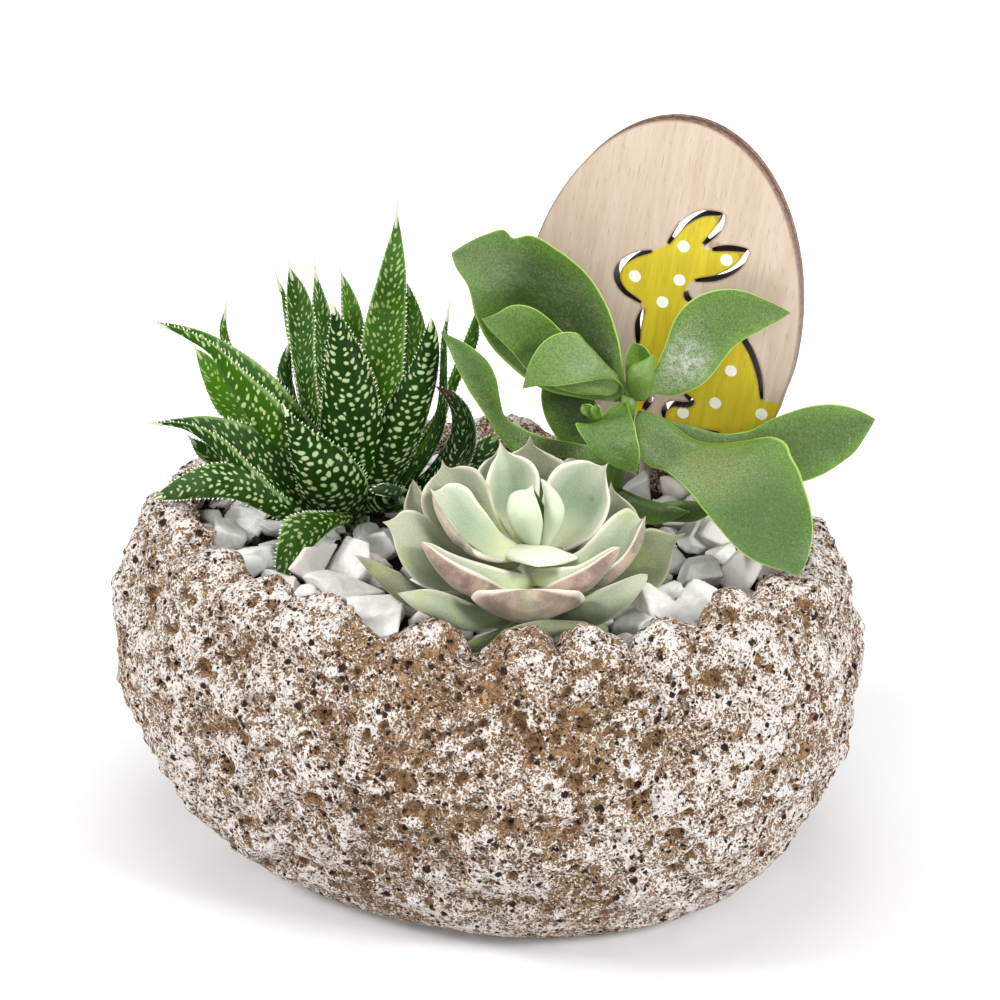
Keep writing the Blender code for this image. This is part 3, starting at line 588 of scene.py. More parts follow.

# %% [markdown]
# The stone is a mass of grains about a millimetre across, tan and brown, each with a tone of its
# own. White lime fills the seams between the grains and spreads from there, far on what stands
# proud, and not at all in the hollows. Where the fine relief is low, the brown is painted darker, as
# the shade in small cavities. Pits are painted nearly black inside, as the shade in them, and some
# bubbles show as thin rings. The masks of the big pits and of the height come from the mesh.


# %% Porous stone finish
def stone_finish():
    """Grains and seams first, with painted shade where the relief is low, then lime, pits painted
    nearly black inside as shade, rings and a few grey stains.
    """
    made, tree = new_finish("porous stone with lime wash", 0.95, {"Specular IOR Level": 0.25})
    where = millimetres(tree)
    hollow, proud = masks(tree, "hollow", "proud")
    bent = pushed(where, 0.8, 4.0, (1.7, 1.7, 1.7))
    grain = put(tree, "TexVoronoi", {"Vector": bent, "Scale": 0.72}, "Color")
    tone, rust = put(tree, "SeparateColor", {0: grain}, (0, 1))
    seam = put(tree, "TexVoronoi", {"Vector": bent, "Scale": 0.72}, "Distance",
               feature="DISTANCE_TO_EDGE")
    large, small, tiny = (
        use(SPOTS, bent, ("Depth", "Ring"), Scale=scale, Share=share, Radius=radius)
        for scale, share, radius in ((0.25, 0.6, 0.34), (0.45, 0.5, 0.4), (0.95, 0.5, 0.42)))
    rough, drift = speckle(where, 0.4, 4, 0.7, 0.5), speckle(where, 0.13, 2, 0.6, 0.8)
    crisp, broad = speckle(where, 1.7, 2, 0.75, 0.3), speckle(where, 0.05, 5, 0.62, 0.5)
    # less lime on a patch low on the front of the bowl, so that it shows browner there
    less_lime = close_to(where, mark(460, 730, -74), 50, 20)
    spread = (ranged(broad, 0.36, 0.62) * 0.12 + 0.07 - less_lime * 0.12 + proud * 0.17 - hollow * 0.5
              + (rough - 0.5) * 1.3 + (crisp - 0.5) * 1.45 + (drift - 0.5) * 0.6)
    lime = spread - seam
    pits = highest(large[0], small[0], tiny[0])
    wash = clamped(ranged(lime, -0.03, 0.07) - ranged(pits, 0.2, 0.35))
    body = coated(mixed(tone, (142, 107, 74), (198, 160, 119)),
                  (ranged(rust, 0.7, 0.95, 0.7), (112, 72, 52)),
                  # painted shade: where the fine crisp relief is low, dark brown specks stand in for the
                  # shade in small cavities
                  (ranged(crisp, 0.45, 0.34, 0.95), (56, 37, 29)),
                  (ranged(lime, -0.16, -0.05, 0.5), (88, 62, 48)),
                  # painted shade: the brown is darker where the rough relief is low, as the shade in its
                  # hollows
                  (ranged(rough, 0.42, 0.28, 0.6), (96, 68, 52)))
    stain = use(SPOTS, bent, "Mask", Scale=0.12, Share=0.4, Radius=0.12)
    shown = coated(body,
                   (wash, mixed(ranged(lime, 0.0, 0.28), (214, 188, 162), (250, 243, 238))),
                   # painted shade: the pits are painted nearly black inside, as the shade in them
                   (ranged(pits, 0.06, 0.45, 0.95), (42, 25, 18)),
                   (highest(small[1], large[1]) * 0.85, (52, 36, 28)),
                   (stain * 0.6, (120, 122, 128)))
    height = crisp * 0.4 + rough * 1.2 + ranged(seam, 0.0, 0.3) * 0.14 + wash * 0.14 - pits * 0.8
    return finish_with(made, shown, height, 3.0)


lip_inside = FOOT_ROWS + OUTER_ROWS + LIP_ROWS // 2 + 1
inside = np.repeat(np.arange(len(form)) >= lip_inside, len(turns))
below_rim = np.tile(rim, len(form)) - flat_points[:, 2]
near_top = np.clip(1 - below_rim / 6, 0, 1) * np.tile(crest, len(form))
proud = np.clip(0.5 + 0.55 * fine_swell + 0.12 * broad_swell, 0, 1)
proud = np.clip(proud + 0.5 * near_top, 0, 1.5) * (1 - 0.8 * inside)
bowl_masks = {"hollow": with_poles(np.clip(hollow / 1.5, 0, 1) * room, 0, 0),
              "proud": with_poles(proud, 0, 0)}
bowl_skin = closed_skin(bowl_form, np.zeros(3), np.array([0, 0, FLOOR]))
add_piece("stone_bowl", (*bowl_skin, bowl_masks), [stone_finish()], "pot")

# %% [markdown]
# ## Soil
# Dark potting soil fills the bowl to a little under the rim. It shows in the gaps between the
# chips, so its top is a fine grid with crumbs, and small crumbs and bits of bark lie about on it.
# It dips round the rosette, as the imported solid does.

# %% Soil surface
SOIL_TOP = 80.0
CLEAR = 1.4  # between the soil and the bowl's inner wall
FOOT = {"aloe": np.array([-50.0, 8, 88]), "rosette": np.array([11.4, -25, 92]),
        "shoot": np.array([17.0, 23, 84]), "pick": np.array([23.4, 47.6, 48])}
SHOOT_HEAD = np.array([24.0, 20, 122])
ROOT = 60  # height in the soil from which every stem comes


def ground_dip(x, y):
    """5 mm times 1 less the squared share of 52 mm from the rosette's foot."""
    away = np.hypot(x - FOOT["rosette"][0], y - FOOT["rosette"][1]) / 52
    return 5 * np.maximum(0, 1 - away * away)


def soil_shell():
    """Rings up the bowl's inner wall, then rings that shrink towards the middle of the top."""
    turn = round_turn(160)
    rings = [egg(turn, np.full_like(turn, height), WALL + CLEAR)
             for height in (*np.linspace(FLOOR + 0.3, SOIL_TOP - CLEAR, 8), SOIL_TOP)]
    edge = rings.pop()
    rings[-1][:, 2] -= ground_dip(rings[-1][:, 0], rings[-1][:, 1])
    for part in np.linspace(1, 0.02, 70):
        ring = edge * part
        crumb = (0.7 * soft_noise(ring, 5, 21) + 0.5 * soft_noise(ring, 2, 22)
                 + 0.3 * soft_noise(ring, 1, 23))
        ring[:, 2] = SOIL_TOP - ground_dip(ring[:, 0], ring[:, 1]) + 0.6 + crumb
        rings.append(ring)
    rings = np.array(rings)
    points, faces = closed_skin(rings, np.array([0, 0, FLOOR + 0.3]), rings[-1].mean(0))
    return points, faces, {"tone": np.full(len(points), 0.3)}


# %% Stones, crumbs and chips as one kind of shape
def broken_lumps(centres, sizes, facets, sharp, seed, rows=9, around=12):
    """Lumps that a few planes cut out. A plane at distance d cuts the ray along u at d / (n·u).
    The radius is the soft least of these, (Σ (n·u / d)^p)^(-1/p), and p is how sharp edges are.
    """
    spin = np.random.default_rng(seed)
    count = len(centres)
    lat = np.linspace(0, np.pi, rows + 2)[1:-1, None]
    lon = round_turn(around)[None, :]
    ways = np.stack(np.broadcast_arrays(np.sin(lat) * np.cos(lon), np.sin(lat) * np.sin(lon),
                                        np.cos(lat) + 0 * lon), -1).reshape(-1, 3)
    ways = np.concatenate([[[0, 0, 1.0]], ways, [[0, 0, -1.0]]])
    normals = unit(spin.normal(size=(count, facets, 3)))
    depth = spin.uniform(0.55, 1.0, (count, facets))
    facing = np.maximum(np.einsum("nfk,mk->nmf", normals, ways), 0) / depth[:, None, :]
    radius = ((facing ** sharp).sum(-1) + 0.7 ** sharp) ** (-1 / sharp)
    turned = np.linalg.qr(spin.normal(size=(count, 3, 3)))[0]
    turned = turned * np.sign(np.linalg.det(turned))[:, None, None]
    local = ways[None] * radius[..., None]
    lumps = np.einsum("nij,nmj->nmi", turned, local) * sizes[:, None, :] + centres[:, None, :]
    _, faces = closed_skin(ways[1:-1].reshape(rows, around, 3), ways[0], ways[-1])
    all_faces = faces[None] + (np.arange(count) * len(ways))[:, None, None]
    return lumps, all_faces.reshape(-1, 3)


# %% Crumbs on the soil
def scatter(count, seed, height, reach=0.97):
    """Spots spread evenly over the bowl's opening: the radius grows with the root of a share."""
    spin = np.random.default_rng(seed)
    turn = spin.uniform(0, 2 * np.pi, count)
    edge = egg(turn, np.full(count, height), WALL + 3)
    spots = edge * np.sqrt(spin.uniform(0, 1, count))[:, None] * reach
    spots[:, 2] = height - ground_dip(spots[:, 0], spots[:, 1])
    return spots


# crumbs on the whole soil, and crumbs in each gap that shows
CRUMBS, CRUMBS_IN_GAP = 900, 9
# pixels of the gaps between chips that show dark soil
SHOWN_GAPS = np.array([
    (213, 512), (216, 520), (222, 506), (330, 546), (322, 551), (338, 540), (248, 553), (240, 546),
    (549, 643), (556, 640), (543, 648), (776, 575), (784, 572), (695, 597), (395, 585), (388, 570),
    (300, 545), (352, 532), (566, 652), (536, 640)], float)
spin = np.random.default_rng(5)
crumb_spots = scatter(CRUMBS, 6, SOIL_TOP)
gaps = np.repeat(under_pixel(*SHOWN_GAPS.T, 86), CRUMBS_IN_GAP, axis=0)
gaps = gaps + spin.normal(0, 2.0, gaps.shape) * [1, 1, 0.3]
gaps[:, 2] = 84.4 - ground_dip(gaps[:, 0], gaps[:, 1]) + spin.uniform(-0.8, 1.4, len(gaps))
crumb_spots = np.concatenate([crumb_spots + [0, 0, 1.0], gaps])
crumb_sizes = spin.uniform(0.5, 1.6, (len(crumb_spots), 1))
crumb_sizes = crumb_sizes * spin.uniform(0.6, 1.4, (len(crumb_spots), 3))
crumbs, crumb_faces = broken_lumps(crumb_spots, crumb_sizes, 7, 8, 7, rows=3, around=6)
tones = np.repeat(spin.uniform(0, 1, len(crumbs)), crumbs.shape[1])
crumb_shell = (crumbs.reshape(-1, 3), crumb_faces, {"tone": tones})
print(len(crumbs), "crumbs")


# %% Soil finish
def soil_finish():
    """Nearly black, with brown crumbs."""
    made, tree = new_finish("potting soil", 0.95)
    where = millimetres(tree)
    base = mixed(masks(tree, "tone")[0], (26, 18, 14), (86, 56, 40))
    base = mixed(ranged(speckle(where, 1.4, 4, 0.7), 0.35, 0.7), (20, 14, 12), base)
    return finish_with(made, base, speckle(where, 1.8, 5, 0.7), 0.8)


add_piece("potting_soil", gathered([soil_shell(), crumb_shell]), [soil_finish()], "soil")

# %% [markdown]
# ## Marble chips
# The soil is covered with crushed white marble. Each chip is a lump that some planes cut out, with
# its edges a little worn. The chips that the viewer sees are placed one by one, where they lie
# under a pixel of the photograph, and the rest are scattered, always on the bed of the solid.

# %% Chips that show
# pixel x, pixel y, width and height in pixels, turn in degrees, tint: 0 white, 1 grey, 2 pinkish
SHOWN_CHIPS = np.array([
    (228, 540, 44, 46, 20, 0), (245, 523, 40, 26, -30, 0), (277, 527, 52, 20, 38, 0),
    (258, 562, 54, 34, 22, 0), (272, 546, 30, 20, 10, 0), (311, 571, 44, 46, 40, 2),
    (289, 587, 18, 24, 0, 2), (348, 566, 44, 42, -20, 0), (362, 541, 24, 38, 10, 1),
    (384, 545, 32, 44, -8, 0), (352, 590, 66, 30, -12, 0), (372, 610, 74, 34, -8, 0),
    (378, 628, 58, 30, 0, 0), (443, 634, 44, 20, -10, 0), (640, 615, 34, 34, 0, 1),
    (633, 637, 34, 28, -20, 1), (616, 637, 26, 26, -30, 0), (668, 612, 50, 46, -30, 0),
    (706, 608, 52, 40, 30, 0), (699, 569, 54, 42, 0, 0), (743, 572, 50, 44, -10, 2),
    (707, 590, 30, 18, 20, 0), (690, 541, 34, 34, 0, 1), (716, 536, 48, 44, 30, 2),
    (684, 520, 34, 18, 0, 0), (639, 496, 34, 36, 10, 1), (660, 512, 36, 24, 20, 1),
    (664, 588, 30, 30, 20, 0), (726, 552, 30, 20, 0, 0), (736, 520, 40, 30, 0, 2),
    (760, 548, 34, 26, 0, 1), (620, 480, 30, 24, 0, 0), (335, 527, 26, 16, 10, 0),
], float)
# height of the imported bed, mm in a pixel, and how much of a chip its neighbours hide
BED, PIXEL, HIDDEN = 84.6, 0.262, 1.12
spots = under_pixel(SHOWN_CHIPS[:, 0], SHOWN_CHIPS[:, 1], BED + 1.5)
wide, tall = SHOWN_CHIPS[:, 2] * HIDDEN, SHOWN_CHIPS[:, 3] * HIDDEN
shown_sizes = np.stack([wide * PIXEL / 2, (wide + tall) * PIXEL / 4 * 1.1,
                        np.clip(tall * PIXEL / 2 * 0.95, 2.4, 6.0)], -1)
spots[:, 2] = BED - ground_dip(spots[:, 0], spots[:, 1]) + shown_sizes[:, 2] * 0.4
print(len(spots), "chips placed by eye, within", np.abs(spots[:, :2]).max(0).round(1), "mm")


# %% Scattered chips
DARTS, MEAN_HALF_LENGTH = 5000, 100


def scattered_chips(placed, sizes):
    """Darts thrown at the opening: a dart stays where it is clear of stems and of earlier chips."""
    spin = np.random.default_rng(12)
    kept, kept_sizes = [p[:2] for p in placed], [s[0] for s in sizes]
    stems = [(FOOT["aloe"], 9), (FOOT["rosette"], 8), (FOOT["shoot"], 4.5), (FOOT["pick"], 2.5)]
    first = len(kept)
    for dart in scatter(DARTS, 13, SOIL_TOP + 4, 1.0):
        size = spin.uniform(3.2, 6.2)
        turn = np.arctan2(dart[1] / HALF_WIDTH, dart[0] / MEAN_HALF_LENGTH)
        reach = np.linalg.norm(egg(turn, SOIL_TOP + 6.0, WALL)[:2])
        if np.linalg.norm(dart[:2]) > reach - size * 0.8:
            continue
        if any(np.hypot(*(dart[:2] - foot[:2])) < size + clear for foot, clear in stems):
            continue
        far = np.linalg.norm(np.array(kept) - dart[:2], axis=1)
        if (far > 0.86 * (np.array(kept_sizes) * 0.8 + size)).all():
            kept.append(dart[:2])
            kept_sizes.append(size)
    return np.array(kept[first:]), np.array(kept_sizes[first:])


loose, loose_sizes = scattered_chips(spots, shown_sizes)
print(len(loose), "chips scattered")
spin = np.random.default_rng(14)
loose = np.concatenate([loose, np.zeros((len(loose), 1))], 1)
# long, wide and high shares of a chip's size
loose_sizes = loose_sizes[:, None] * np.stack([
    spin.uniform(*ends, len(loose)) for ends in ((0.95, 1.35), (0.8, 1.1), (0.55, 0.8))], -1)
loose[:, 2] = BED - ground_dip(loose[:, 0], loose[:, 1]) + loose_sizes[:, 2] * 0.3


# %% Marble pieces
def chip_shell(centres, sizes, tints, seed, rows, around):
    """Chips lie flat: their long sides are nearly level, rolled a little about both of them."""
    local, faces = broken_lumps(np.zeros_like(centres), np.ones_like(sizes), 13, 44, seed, rows,
                                around)
    local = local * sizes[:, None, :]
    spin = np.random.default_rng(seed + 1)
    roll = spin.uniform(-0.35, 0.35, (len(centres), 2))
    turned = local.copy()
    turned[..., 2] += local[..., 0] * roll[:, :1] + local[..., 1] * roll[:, 1:]
    flat = turned[..., :1] * RIGHT + turned[..., 1:2] * AWAY + turned[..., 2:] * UP
    points = (flat + centres[:, None, :]).reshape(-1, 3)
    points += 0.12 * wobbled(points, 1.6, 60)
    return points, faces, {"tint": np.repeat(tints, local.shape[1])}


tints = spin.choice([0, 0, 0, 0, 1, 2, 2], len(loose)).astype(float)
chips = gathered([chip_shell(spots, shown_sizes, SHOWN_CHIPS[:, 5], 70, 34, 46),
                  chip_shell(loose, loose_sizes, tints, 80, 13, 20)])


# %% Marble finish
def marble_finish():
    """Cloudy white, a tint on some chips, and faint veins."""
    made, tree = new_finish("white marble", 0.42, lit_within(0.2, 0.001, (1.0, 0.95, 0.9)))
    where = millimetres(tree)
    tint, = masks(tree, "tint")
    cloudy = ranged(speckle(where, 0.25, 4, 0.6, 0.5), 0.3, 0.7)
    veins = use(PATCHES, where, "Mask", Scale=0.5, Detail=5.0, Bend=1.5, Cut=0.66, Soft=0.05)
    base = coated(mixed(cloudy, (212, 211, 206), (238, 237, 233)),
                  (ranged(tint, 0.3, 1.0), (200, 201, 197)),
                  (ranged(tint, 1.3, 2.0), (230, 224, 218)),
                  (veins * 0.35, (178, 168, 156)))
    height = speckle(where, 0.45, 3, 0.5) * 0.8 + speckle(where, 2.4, 4, 0.7)
    return finish_with(made, base, height, 0.3)


add_piece("marble_gravel", chips, [marble_finish()], "marble_chips")

# %% [markdown]
# ## Leaves
# All three plants have fleshy leaves, and no two are alike, so each leaf is measured: its two
# edges and its midrib are short rows of points, from root to tip, as they show in the photograph,
# and the midrib also says how far away it lies. A smooth curve goes through each row. The section
# between the three curves is a parabola, which cups the leaf, and the flesh swells it at right
# angles, less above than below. What differs between the plants is the finish.


# %% A smooth curve through a row of points
def length_along(line, least=0.0):
    """Length from the first point up to each: the running sum of the steps, with a least each."""
    steps = np.linalg.norm(np.diff(line, axis=0), axis=1)
    return np.concatenate([[0], np.cumsum(steps + least)])


def read_off(at, run, line):
    """A line's points at some lengths along it."""
    return np.stack([np.interp(at, run, c) for c in line.T], -1)


def even_curve(row, stations):
    """Cubic pieces whose slopes join the neighbours, (next - last) / (their distance), read off at
    shares of the whole length.
    """
    k = np.array(row, float)
    t = length_along(k[:, :2], 1e-6)
    straight = np.repeat((k[1:2] - k[:1]) / t[1], 2, axis=0)
    slope = np.gradient(k, t, axis=0) if len(k) > 2 else straight
    fine = np.linspace(0, t[-1], 240)
    i = np.clip(np.searchsorted(t, fine, side="right") - 1, 0, len(k) - 2)
    width = (t[i + 1] - t[i])[:, None]
    u = (fine - t[i])[:, None] / width
    line = ((2 * u ** 3 - 3 * u ** 2 + 1) * k[i] + (u ** 3 - 2 * u ** 2 + u) * width * slope[i]
            + (3 * u ** 2 - 2 * u ** 3) * k[i + 1] + (u ** 3 - u ** 2) * width * slope[i + 1])
    run = length_along(line[:, :2])
    return read_off(stations * run[-1], run, line)


# %% A leaf from its edges and midrib
CHART_STEP = 60  # mm between the charts of two leaves, so that they don't share a pattern


def leaf_rows(text):
    """Leaves end in semicolons, and bars part their rows of x,y points: left edge, midrib with its
    distance, right edge. Last come the lean of the two edges and the leaf's other numbers.
    """
    leaves = []
    for leaf in text.split(";"):
        *rows, rest = (part.split() for part in leaf.split("|"))
        rows = [[[float(v) for v in point.split(",")] for point in row] for row in rows]
        left_lean, right_lean, *looks = map(float, rest)
        leaves.append((*rows, (left_lean, right_lean), *looks))
    return leaves


def measured_lines(left, middle, right, lean, stations):
    """Both edges and the midrib in space. An edge lies as far away as the midrib, plus its lean
    times its own share of the leaf's greatest half width.
    """
    rib = even_curve(middle, stations)
    lines = []
    for row, offset in ((left, lean[0]), (right, lean[1])):
        edge = even_curve(row, stations)
        gap = np.linalg.norm(edge - rib[:, :2], axis=1)
        lines.append(behind_pixel(edge[:, 0], edge[:, 1], rib[:, 2] + offset * gap / gap.max()))
    return lines[0], behind_pixel(rib[:, 0], rib[:, 1], rib[:, 2]), lines[1]


def smooth_stations(count, end=0.995):
    """Shares of a leaf's length that crowd towards its tip: 1 - (1 - t)^1.5."""
    return end * (1 - (1 - np.linspace(0.0, 1, count)) ** 1.5)


def measured_leaf(leaf, number, thick, rows, around, relief=0.0, **looks):
    """u = cos a runs from edge to edge. The middle surface is M(1 - u²) + L(u² - u)/2 +
    R(u² + u)/2, and sin a times the plumpness moves it along its normal, 0.34 of it above and 0.66
    below. The chart holds mm from the midrib, which are u times the mean speed of the section up to
    u, and mm from the root.
    """
    stations = smooth_stations(rows)
    left, mid, right = measured_lines(*leaf, stations)
    a = round_turn(around)
    u, rise = np.cos(a)[None, :, None], np.sin(a)[None, :]
    l, m, r = left[:, None], mid[:, None], right[:, None]
    middle = m * (1 - u * u) + l * (u * u - u) / 2 + r * (u * u + u) / 2
    over = l * (u - 0.5) - 2 * u * m + r * (u + 0.5)
    normal = unit(np.cross(over, np.gradient(middle, axis=0)))
    half = np.linalg.norm(right - left, axis=1) / 2
    share = np.minimum(1, 1.6 * half / half.max())
    plump = (thick * (1 - 0.62 * stations) * share)[:, None] * np.where(rise > 0, 0.34, 0.66) * rise
    if relief:
        flat = middle.reshape(-1, 3)
        bumps = soft_noise(flat, 6, 90) + 0.4 * soft_noise(flat, 2.5, 95)
        plump = plump + relief * bumps.reshape(plump.shape) * share[:, None]
    rings = middle + normal * plump[..., None]
    run = length_along(mid)[:, None]
    spread = np.broadcast_to(u[..., 0], plump.shape)
    steps = np.linspace(0.05, 0.95, 10)
    speed = sum(np.linalg.norm(l * (u * k - 0.5) - 2 * u * k * m + r * (u * k + 0.5), axis=-1)
                for k in steps) / len(steps)
    chart = np.stack([spread * speed + CHART_STEP * number, run + 0 * spread, 0 * spread], -1)
    points, faces = closed_skin(rings, mid[0], mid[-1] * 2 - mid[-2])
    masks = {"edge": with_poles(np.abs(spread), 1, 1),
             "reach": with_poles(stations[:, None] + 0 * spread, 0, 1),
             "under": with_poles(np.broadcast_to(rise < -0.01, spread.shape), 0, 1),
             "chart": np.concatenate([[chart[0, 0]], chart.reshape(-1, 3), [chart[-1, 0]]])}
    return with_masks((points, faces, masks), **looks)


def with_masks(shell, **values):
    """Adds masks that are the same over a whole shell."""
    points, faces, masks = shell
    same = {key: np.broadcast_to(np.asarray(value, float), (len(points), *np.shape(value)))
            for key, value in values.items()}
    return points, faces, {**masks, **same}


def rings_round(line, radius, side, over, around):
    """radius × (cos a × side + sin a × over) from each point of a line."""
    a = round_turn(around)[None, :, None]
    return line[:, None] + radius[..., None] * (np.cos(a) * side + np.sin(a) * over)


def stem_shell(low, high, radius, top_radius, **looks):
    """A round stem between two points, its radius changing evenly along it."""
    t = np.linspace(0, 1, 12)[:, None]
    line = low + (high - low) * t
    ahead = unit(high - low)
    side = unit(np.cross(ahead, [0.0, 1, 0]))
    rings = rings_round(line, radius * (1 - t) + top_radius * t, side, np.cross(side, ahead), 24)
    shell = (*closed_skin(rings, line[0], line[-1]), {})
    return with_masks(shell, edge=0, reach=0, under=0, chart=(0, 0, 0), **looks)


print("stations:", smooth_stations(6).round(2))

# %% [markdown]
# ## The aloe
# The speckled aloe at the left has some two dozen dark green blades that end in thin hairs. Pale
# flecks stand in loose rows, which curve like smiles, and small white teeth line the edges. The
# blades in front turn their backs to the viewer, and the ones behind show their hollow faces.

# %% Aloe blades
# after the lean: sunlit share, flecks, hair in mm
ALOE = leaf_rows("""
340,505 352,430 360,360 366,320 376,285 386,250 393,228 397,210 | 356,502,21 378,400,26 388,300,31
395,235,31 397,210,30 | 375,502 398,420 404,350 406,300 405,262 401,232 397,210 | -3 -3 .5 .85 5;
375,503 387,455 381,415 372,375 357,342 342,318 332,302 | 352,508,14 352,440,5 346,380,7 337,330,11
332,302,12 | 330,505 321,450 321,420 324,380 327,350 331,322 332,302 | 4 4 .05 1 3;
298,480 299,400 291,350 287,310 287,285 289,266 | 340,500,23 306,400,26 300,330,28 295,290,28 289,266,27 |
350,490 318,400 314,350 313,308 304,286 289,266 | -2 -2 .25 .6 3;
335,490 318,400 314,350 313,300 315,268 | 346,498,24 327,400,27 322,330,29 318,290,29 315,268,29 | 355,490
340,400 336,350 330,312 321,286 315,268 | -2 -2 .3 .7 5;
345,490 345,400 343,330 342,295 341,272 | 352,498,24 354,380,30 351,320,33 341,272,32 | 365,490 368,400
366,340 358,303 349,284 341,272 | -2 -2 .85 .8 3;
385,498 412,455 427,415 437,375 439,348 436,328 431,316 | 362,508,15 390,450,7 412,400,8 427,355,10
431,316,11 | 345,500 365,465 376,425 395,393 410,368 422,342 431,316 | 4 4 .05 1 2;
385,490 400,400 404,330 407,282 | 362,502,24 410,400,31 414,330,33 407,282,32 | 400,490 430,400 428,340
418,304 407,282 | -2 -2 .8 .8 1;
335,510 310,450 290,415 272,395 252,378 232,360 213,344 190,332 152,321 | 335,506,18 280,450,10 252,412,8
232,380,9 212,352,10 185,336,11 152,321,12 | 345,490 318,430 297,403 277,380 255,361 232,346 210,334 180,325
152,321 | -3 5 .35 .8 2;
330,515 285,497 262,477 240,454 220,437 200,427 175,422 150,423 | 332,514,14 285,510,4 260,490,3 238,467,4
215,445,5 190,430,6 150,423,8 | 340,495 300,455 280,440 258,428 235,421 208,416 180,418 150,423 | -2 4 .1 .7
3;
325,522 280,520 255,508 232,499 205,498 175,500 152,500 | 332,514,12 280,500,2 235,483,-1 190,487,1
152,500,4 | 330,500 280,480 250,467 225,463 203,466 180,477 163,489 152,500 | -2 3 .1 .8 1;
300,500 240,475 212,466 198,456 189,437 | 335,505,22 240,469,24 210,456,24 189,437,22 | 300,485 240,463
220,452 203,442 189,437 | -1 2 .25 .8 2;
320,500 265,450 235,430 215,408 204,383 198,362 195,348 | 335,500,24 270,430,32 235,400,32 212,375,31
195,348,30 | 335,480 290,440 262,415 240,386 220,366 205,353 195,348 | -2 -1 .95 .7 3;
366,505 367,480 352,458 333,443 312,431 297,420 285,409 | 342,516,10 325,480,0 305,450,1 293,428,3 285,409,4
| 318,515 303,500 296,475 291,452 288,432 285,409 | 4 4 .05 1.25 2;
352,522 335,528 320,540 305,556 293,571 276,582 | 351,517,6 320,524,-7 298,538,-13 285,560,-16 276,582,-16 |
350,512 325,512 300,513 286,519 280,535 276,558 276,582 | -1 -1 .25 .9 0;
408,500 390,496 378,494 369,491 | 372,504,13 398,492,2 384,489,-6 369,491,-8 | 408,490 395,486 380,485
369,491 | -1 1 -.2 .3 0;
425,492 440,455 452,428 449,405 442,394 435,386 | 368,508,18 435,482,14 458,450,12 463,422,11 450,398,10
435,386,10 | 430,500 472,458 476,430 467,405 452,391 435,386 | 1 1 -.3 .5 0;
400,500 440,470 470,446 497,432 | 368,510,20 440,478,20 475,458,21 497,432,22 | 400,512 440,488 484,466
500,448 497,432 | 1 -1 .05 .5 0;
390,500 437,420 440,370 442,335 449,308 | 366,505,18 428,450,15 442,400,16 444,345,16 449,308,16 | 405,500
446,420 447,370 447,340 449,308 | 1 1 .1 .1 4;
380,500 435,415 452,372 465,338 477,308 | 364,500,23 440,415,27 457,375,28 471,337,28 477,308,27 | 395,500
445,415 461,378 479,335 477,308 | 0 0 .65 .3 0;
310,480 240,380 221,345 220,325 226,306 | 340,498,26 245,380,34 225,342,34 226,306,33 | 320,475 250,380
231,343 226,322 226,306 | 0 0 .5 .5 3;
315,470 285,400 277,375 282,355 289,342 | 345,498,26 288,390,31 286,365,31 289,342,30 | 325,470 293,400
292,375 291,355 289,342 | 0 0 .15 .7 2;
318,470 290,350 283,310 280,287 277,278 | 345,498,27 294,350,32 286,310,33 277,278,33 | 328,470 298,350
290,310 284,290 277,278 | 0 0 .5 .6 5;
310,480 240,420 222,385 217,360 | 340,500,25 247,415,33 228,382,34 217,360,33 | 320,470 255,410 236,378
226,364 217,360 | 0 0 .8 .8 2""")


TOOTH_STEP = 1.25  # mm from tooth to tooth


def tooth_row(leaf, number, spin):
    """Small four-sided thorns along both edges, leaning towards the tip."""
    s = np.linspace(0.12, 0.985, 200)
    left, mid, right = measured_lines(*leaf, s)
    shells = []
    for edge in (left, right):
        run = length_along(edge)
        at = np.arange(0.5, run[-1], TOOTH_STEP)
        at = np.clip(at + spin.uniform(-0.3, 0.3, len(at)), 0, run[-1])
        foot, rib = read_off(at, run, edge), read_off(at, run, mid)
        ahead = unit(read_off(at, run, np.gradient(edge, axis=0)))
        out = unit(foot - rib + 1e-6)
        upper = unit(np.cross(out, ahead))
        lean = unit(out + ahead * 0.55)
        beside = np.cross(lean, upper)
        fade = (1 - at / run[-1])[:, None]
        size = (0.3 + 0.5 * fade ** 0.6) * spin.uniform(0.6, 1.3, fade.shape)
        corners = np.stack([foot + beside * 0.28, foot + upper * 0.22, foot - beside * 0.28,
                            foot - upper * 0.22, foot + lean * (0.25 + size)], 1)
        faces = np.array([(0, 1, 4), (1, 2, 4), (2, 3, 4), (3, 0, 4), (0, 2, 1), (0, 3, 2)])
        faces = facing_out(corners[0] - corners[0].mean(0), faces)
        every = (faces[None] + 5 * np.arange(len(corners))[:, None, None]).reshape(-1, 3)
        shells.append(with_masks((corners.reshape(-1, 3), every, {}), edge=1, reach=0.5, under=0,
                                 chart=(CHART_STEP * number, 0, 0), thorn=1, sunlit=0, crowd=0))
    return shells


def hair(leaf, long, number):
    """The thin hair that ends a blade: five-sided rings that taper along the tip's direction."""
    mid = measured_lines(*leaf, np.array([0.94, 0.985]))[1]
    ahead = unit(mid[1] - mid[0])
    side = unit(np.cross(ahead, AWAY))
    over = np.cross(side, ahead)
    t = np.linspace(0, 1, 8)[:, None]
    line = mid[0] + (mid[1] - mid[0]) * t + ahead * long * t + over * (0.1 * long * t ** 2)
    rings = rings_round(line, 0.5 * (1 - t) ** 0.8 + 0.06, side, over, 5)
    shell = (*closed_skin(rings, line[0] - ahead * 0.2, line[-1] + ahead * 0.3), {})
    return with_masks(shell, edge=0, reach=0.97, under=0, chart=(CHART_STEP * number, 0, 0),
                      thorn=0.5, sunlit=0.5, crowd=0)


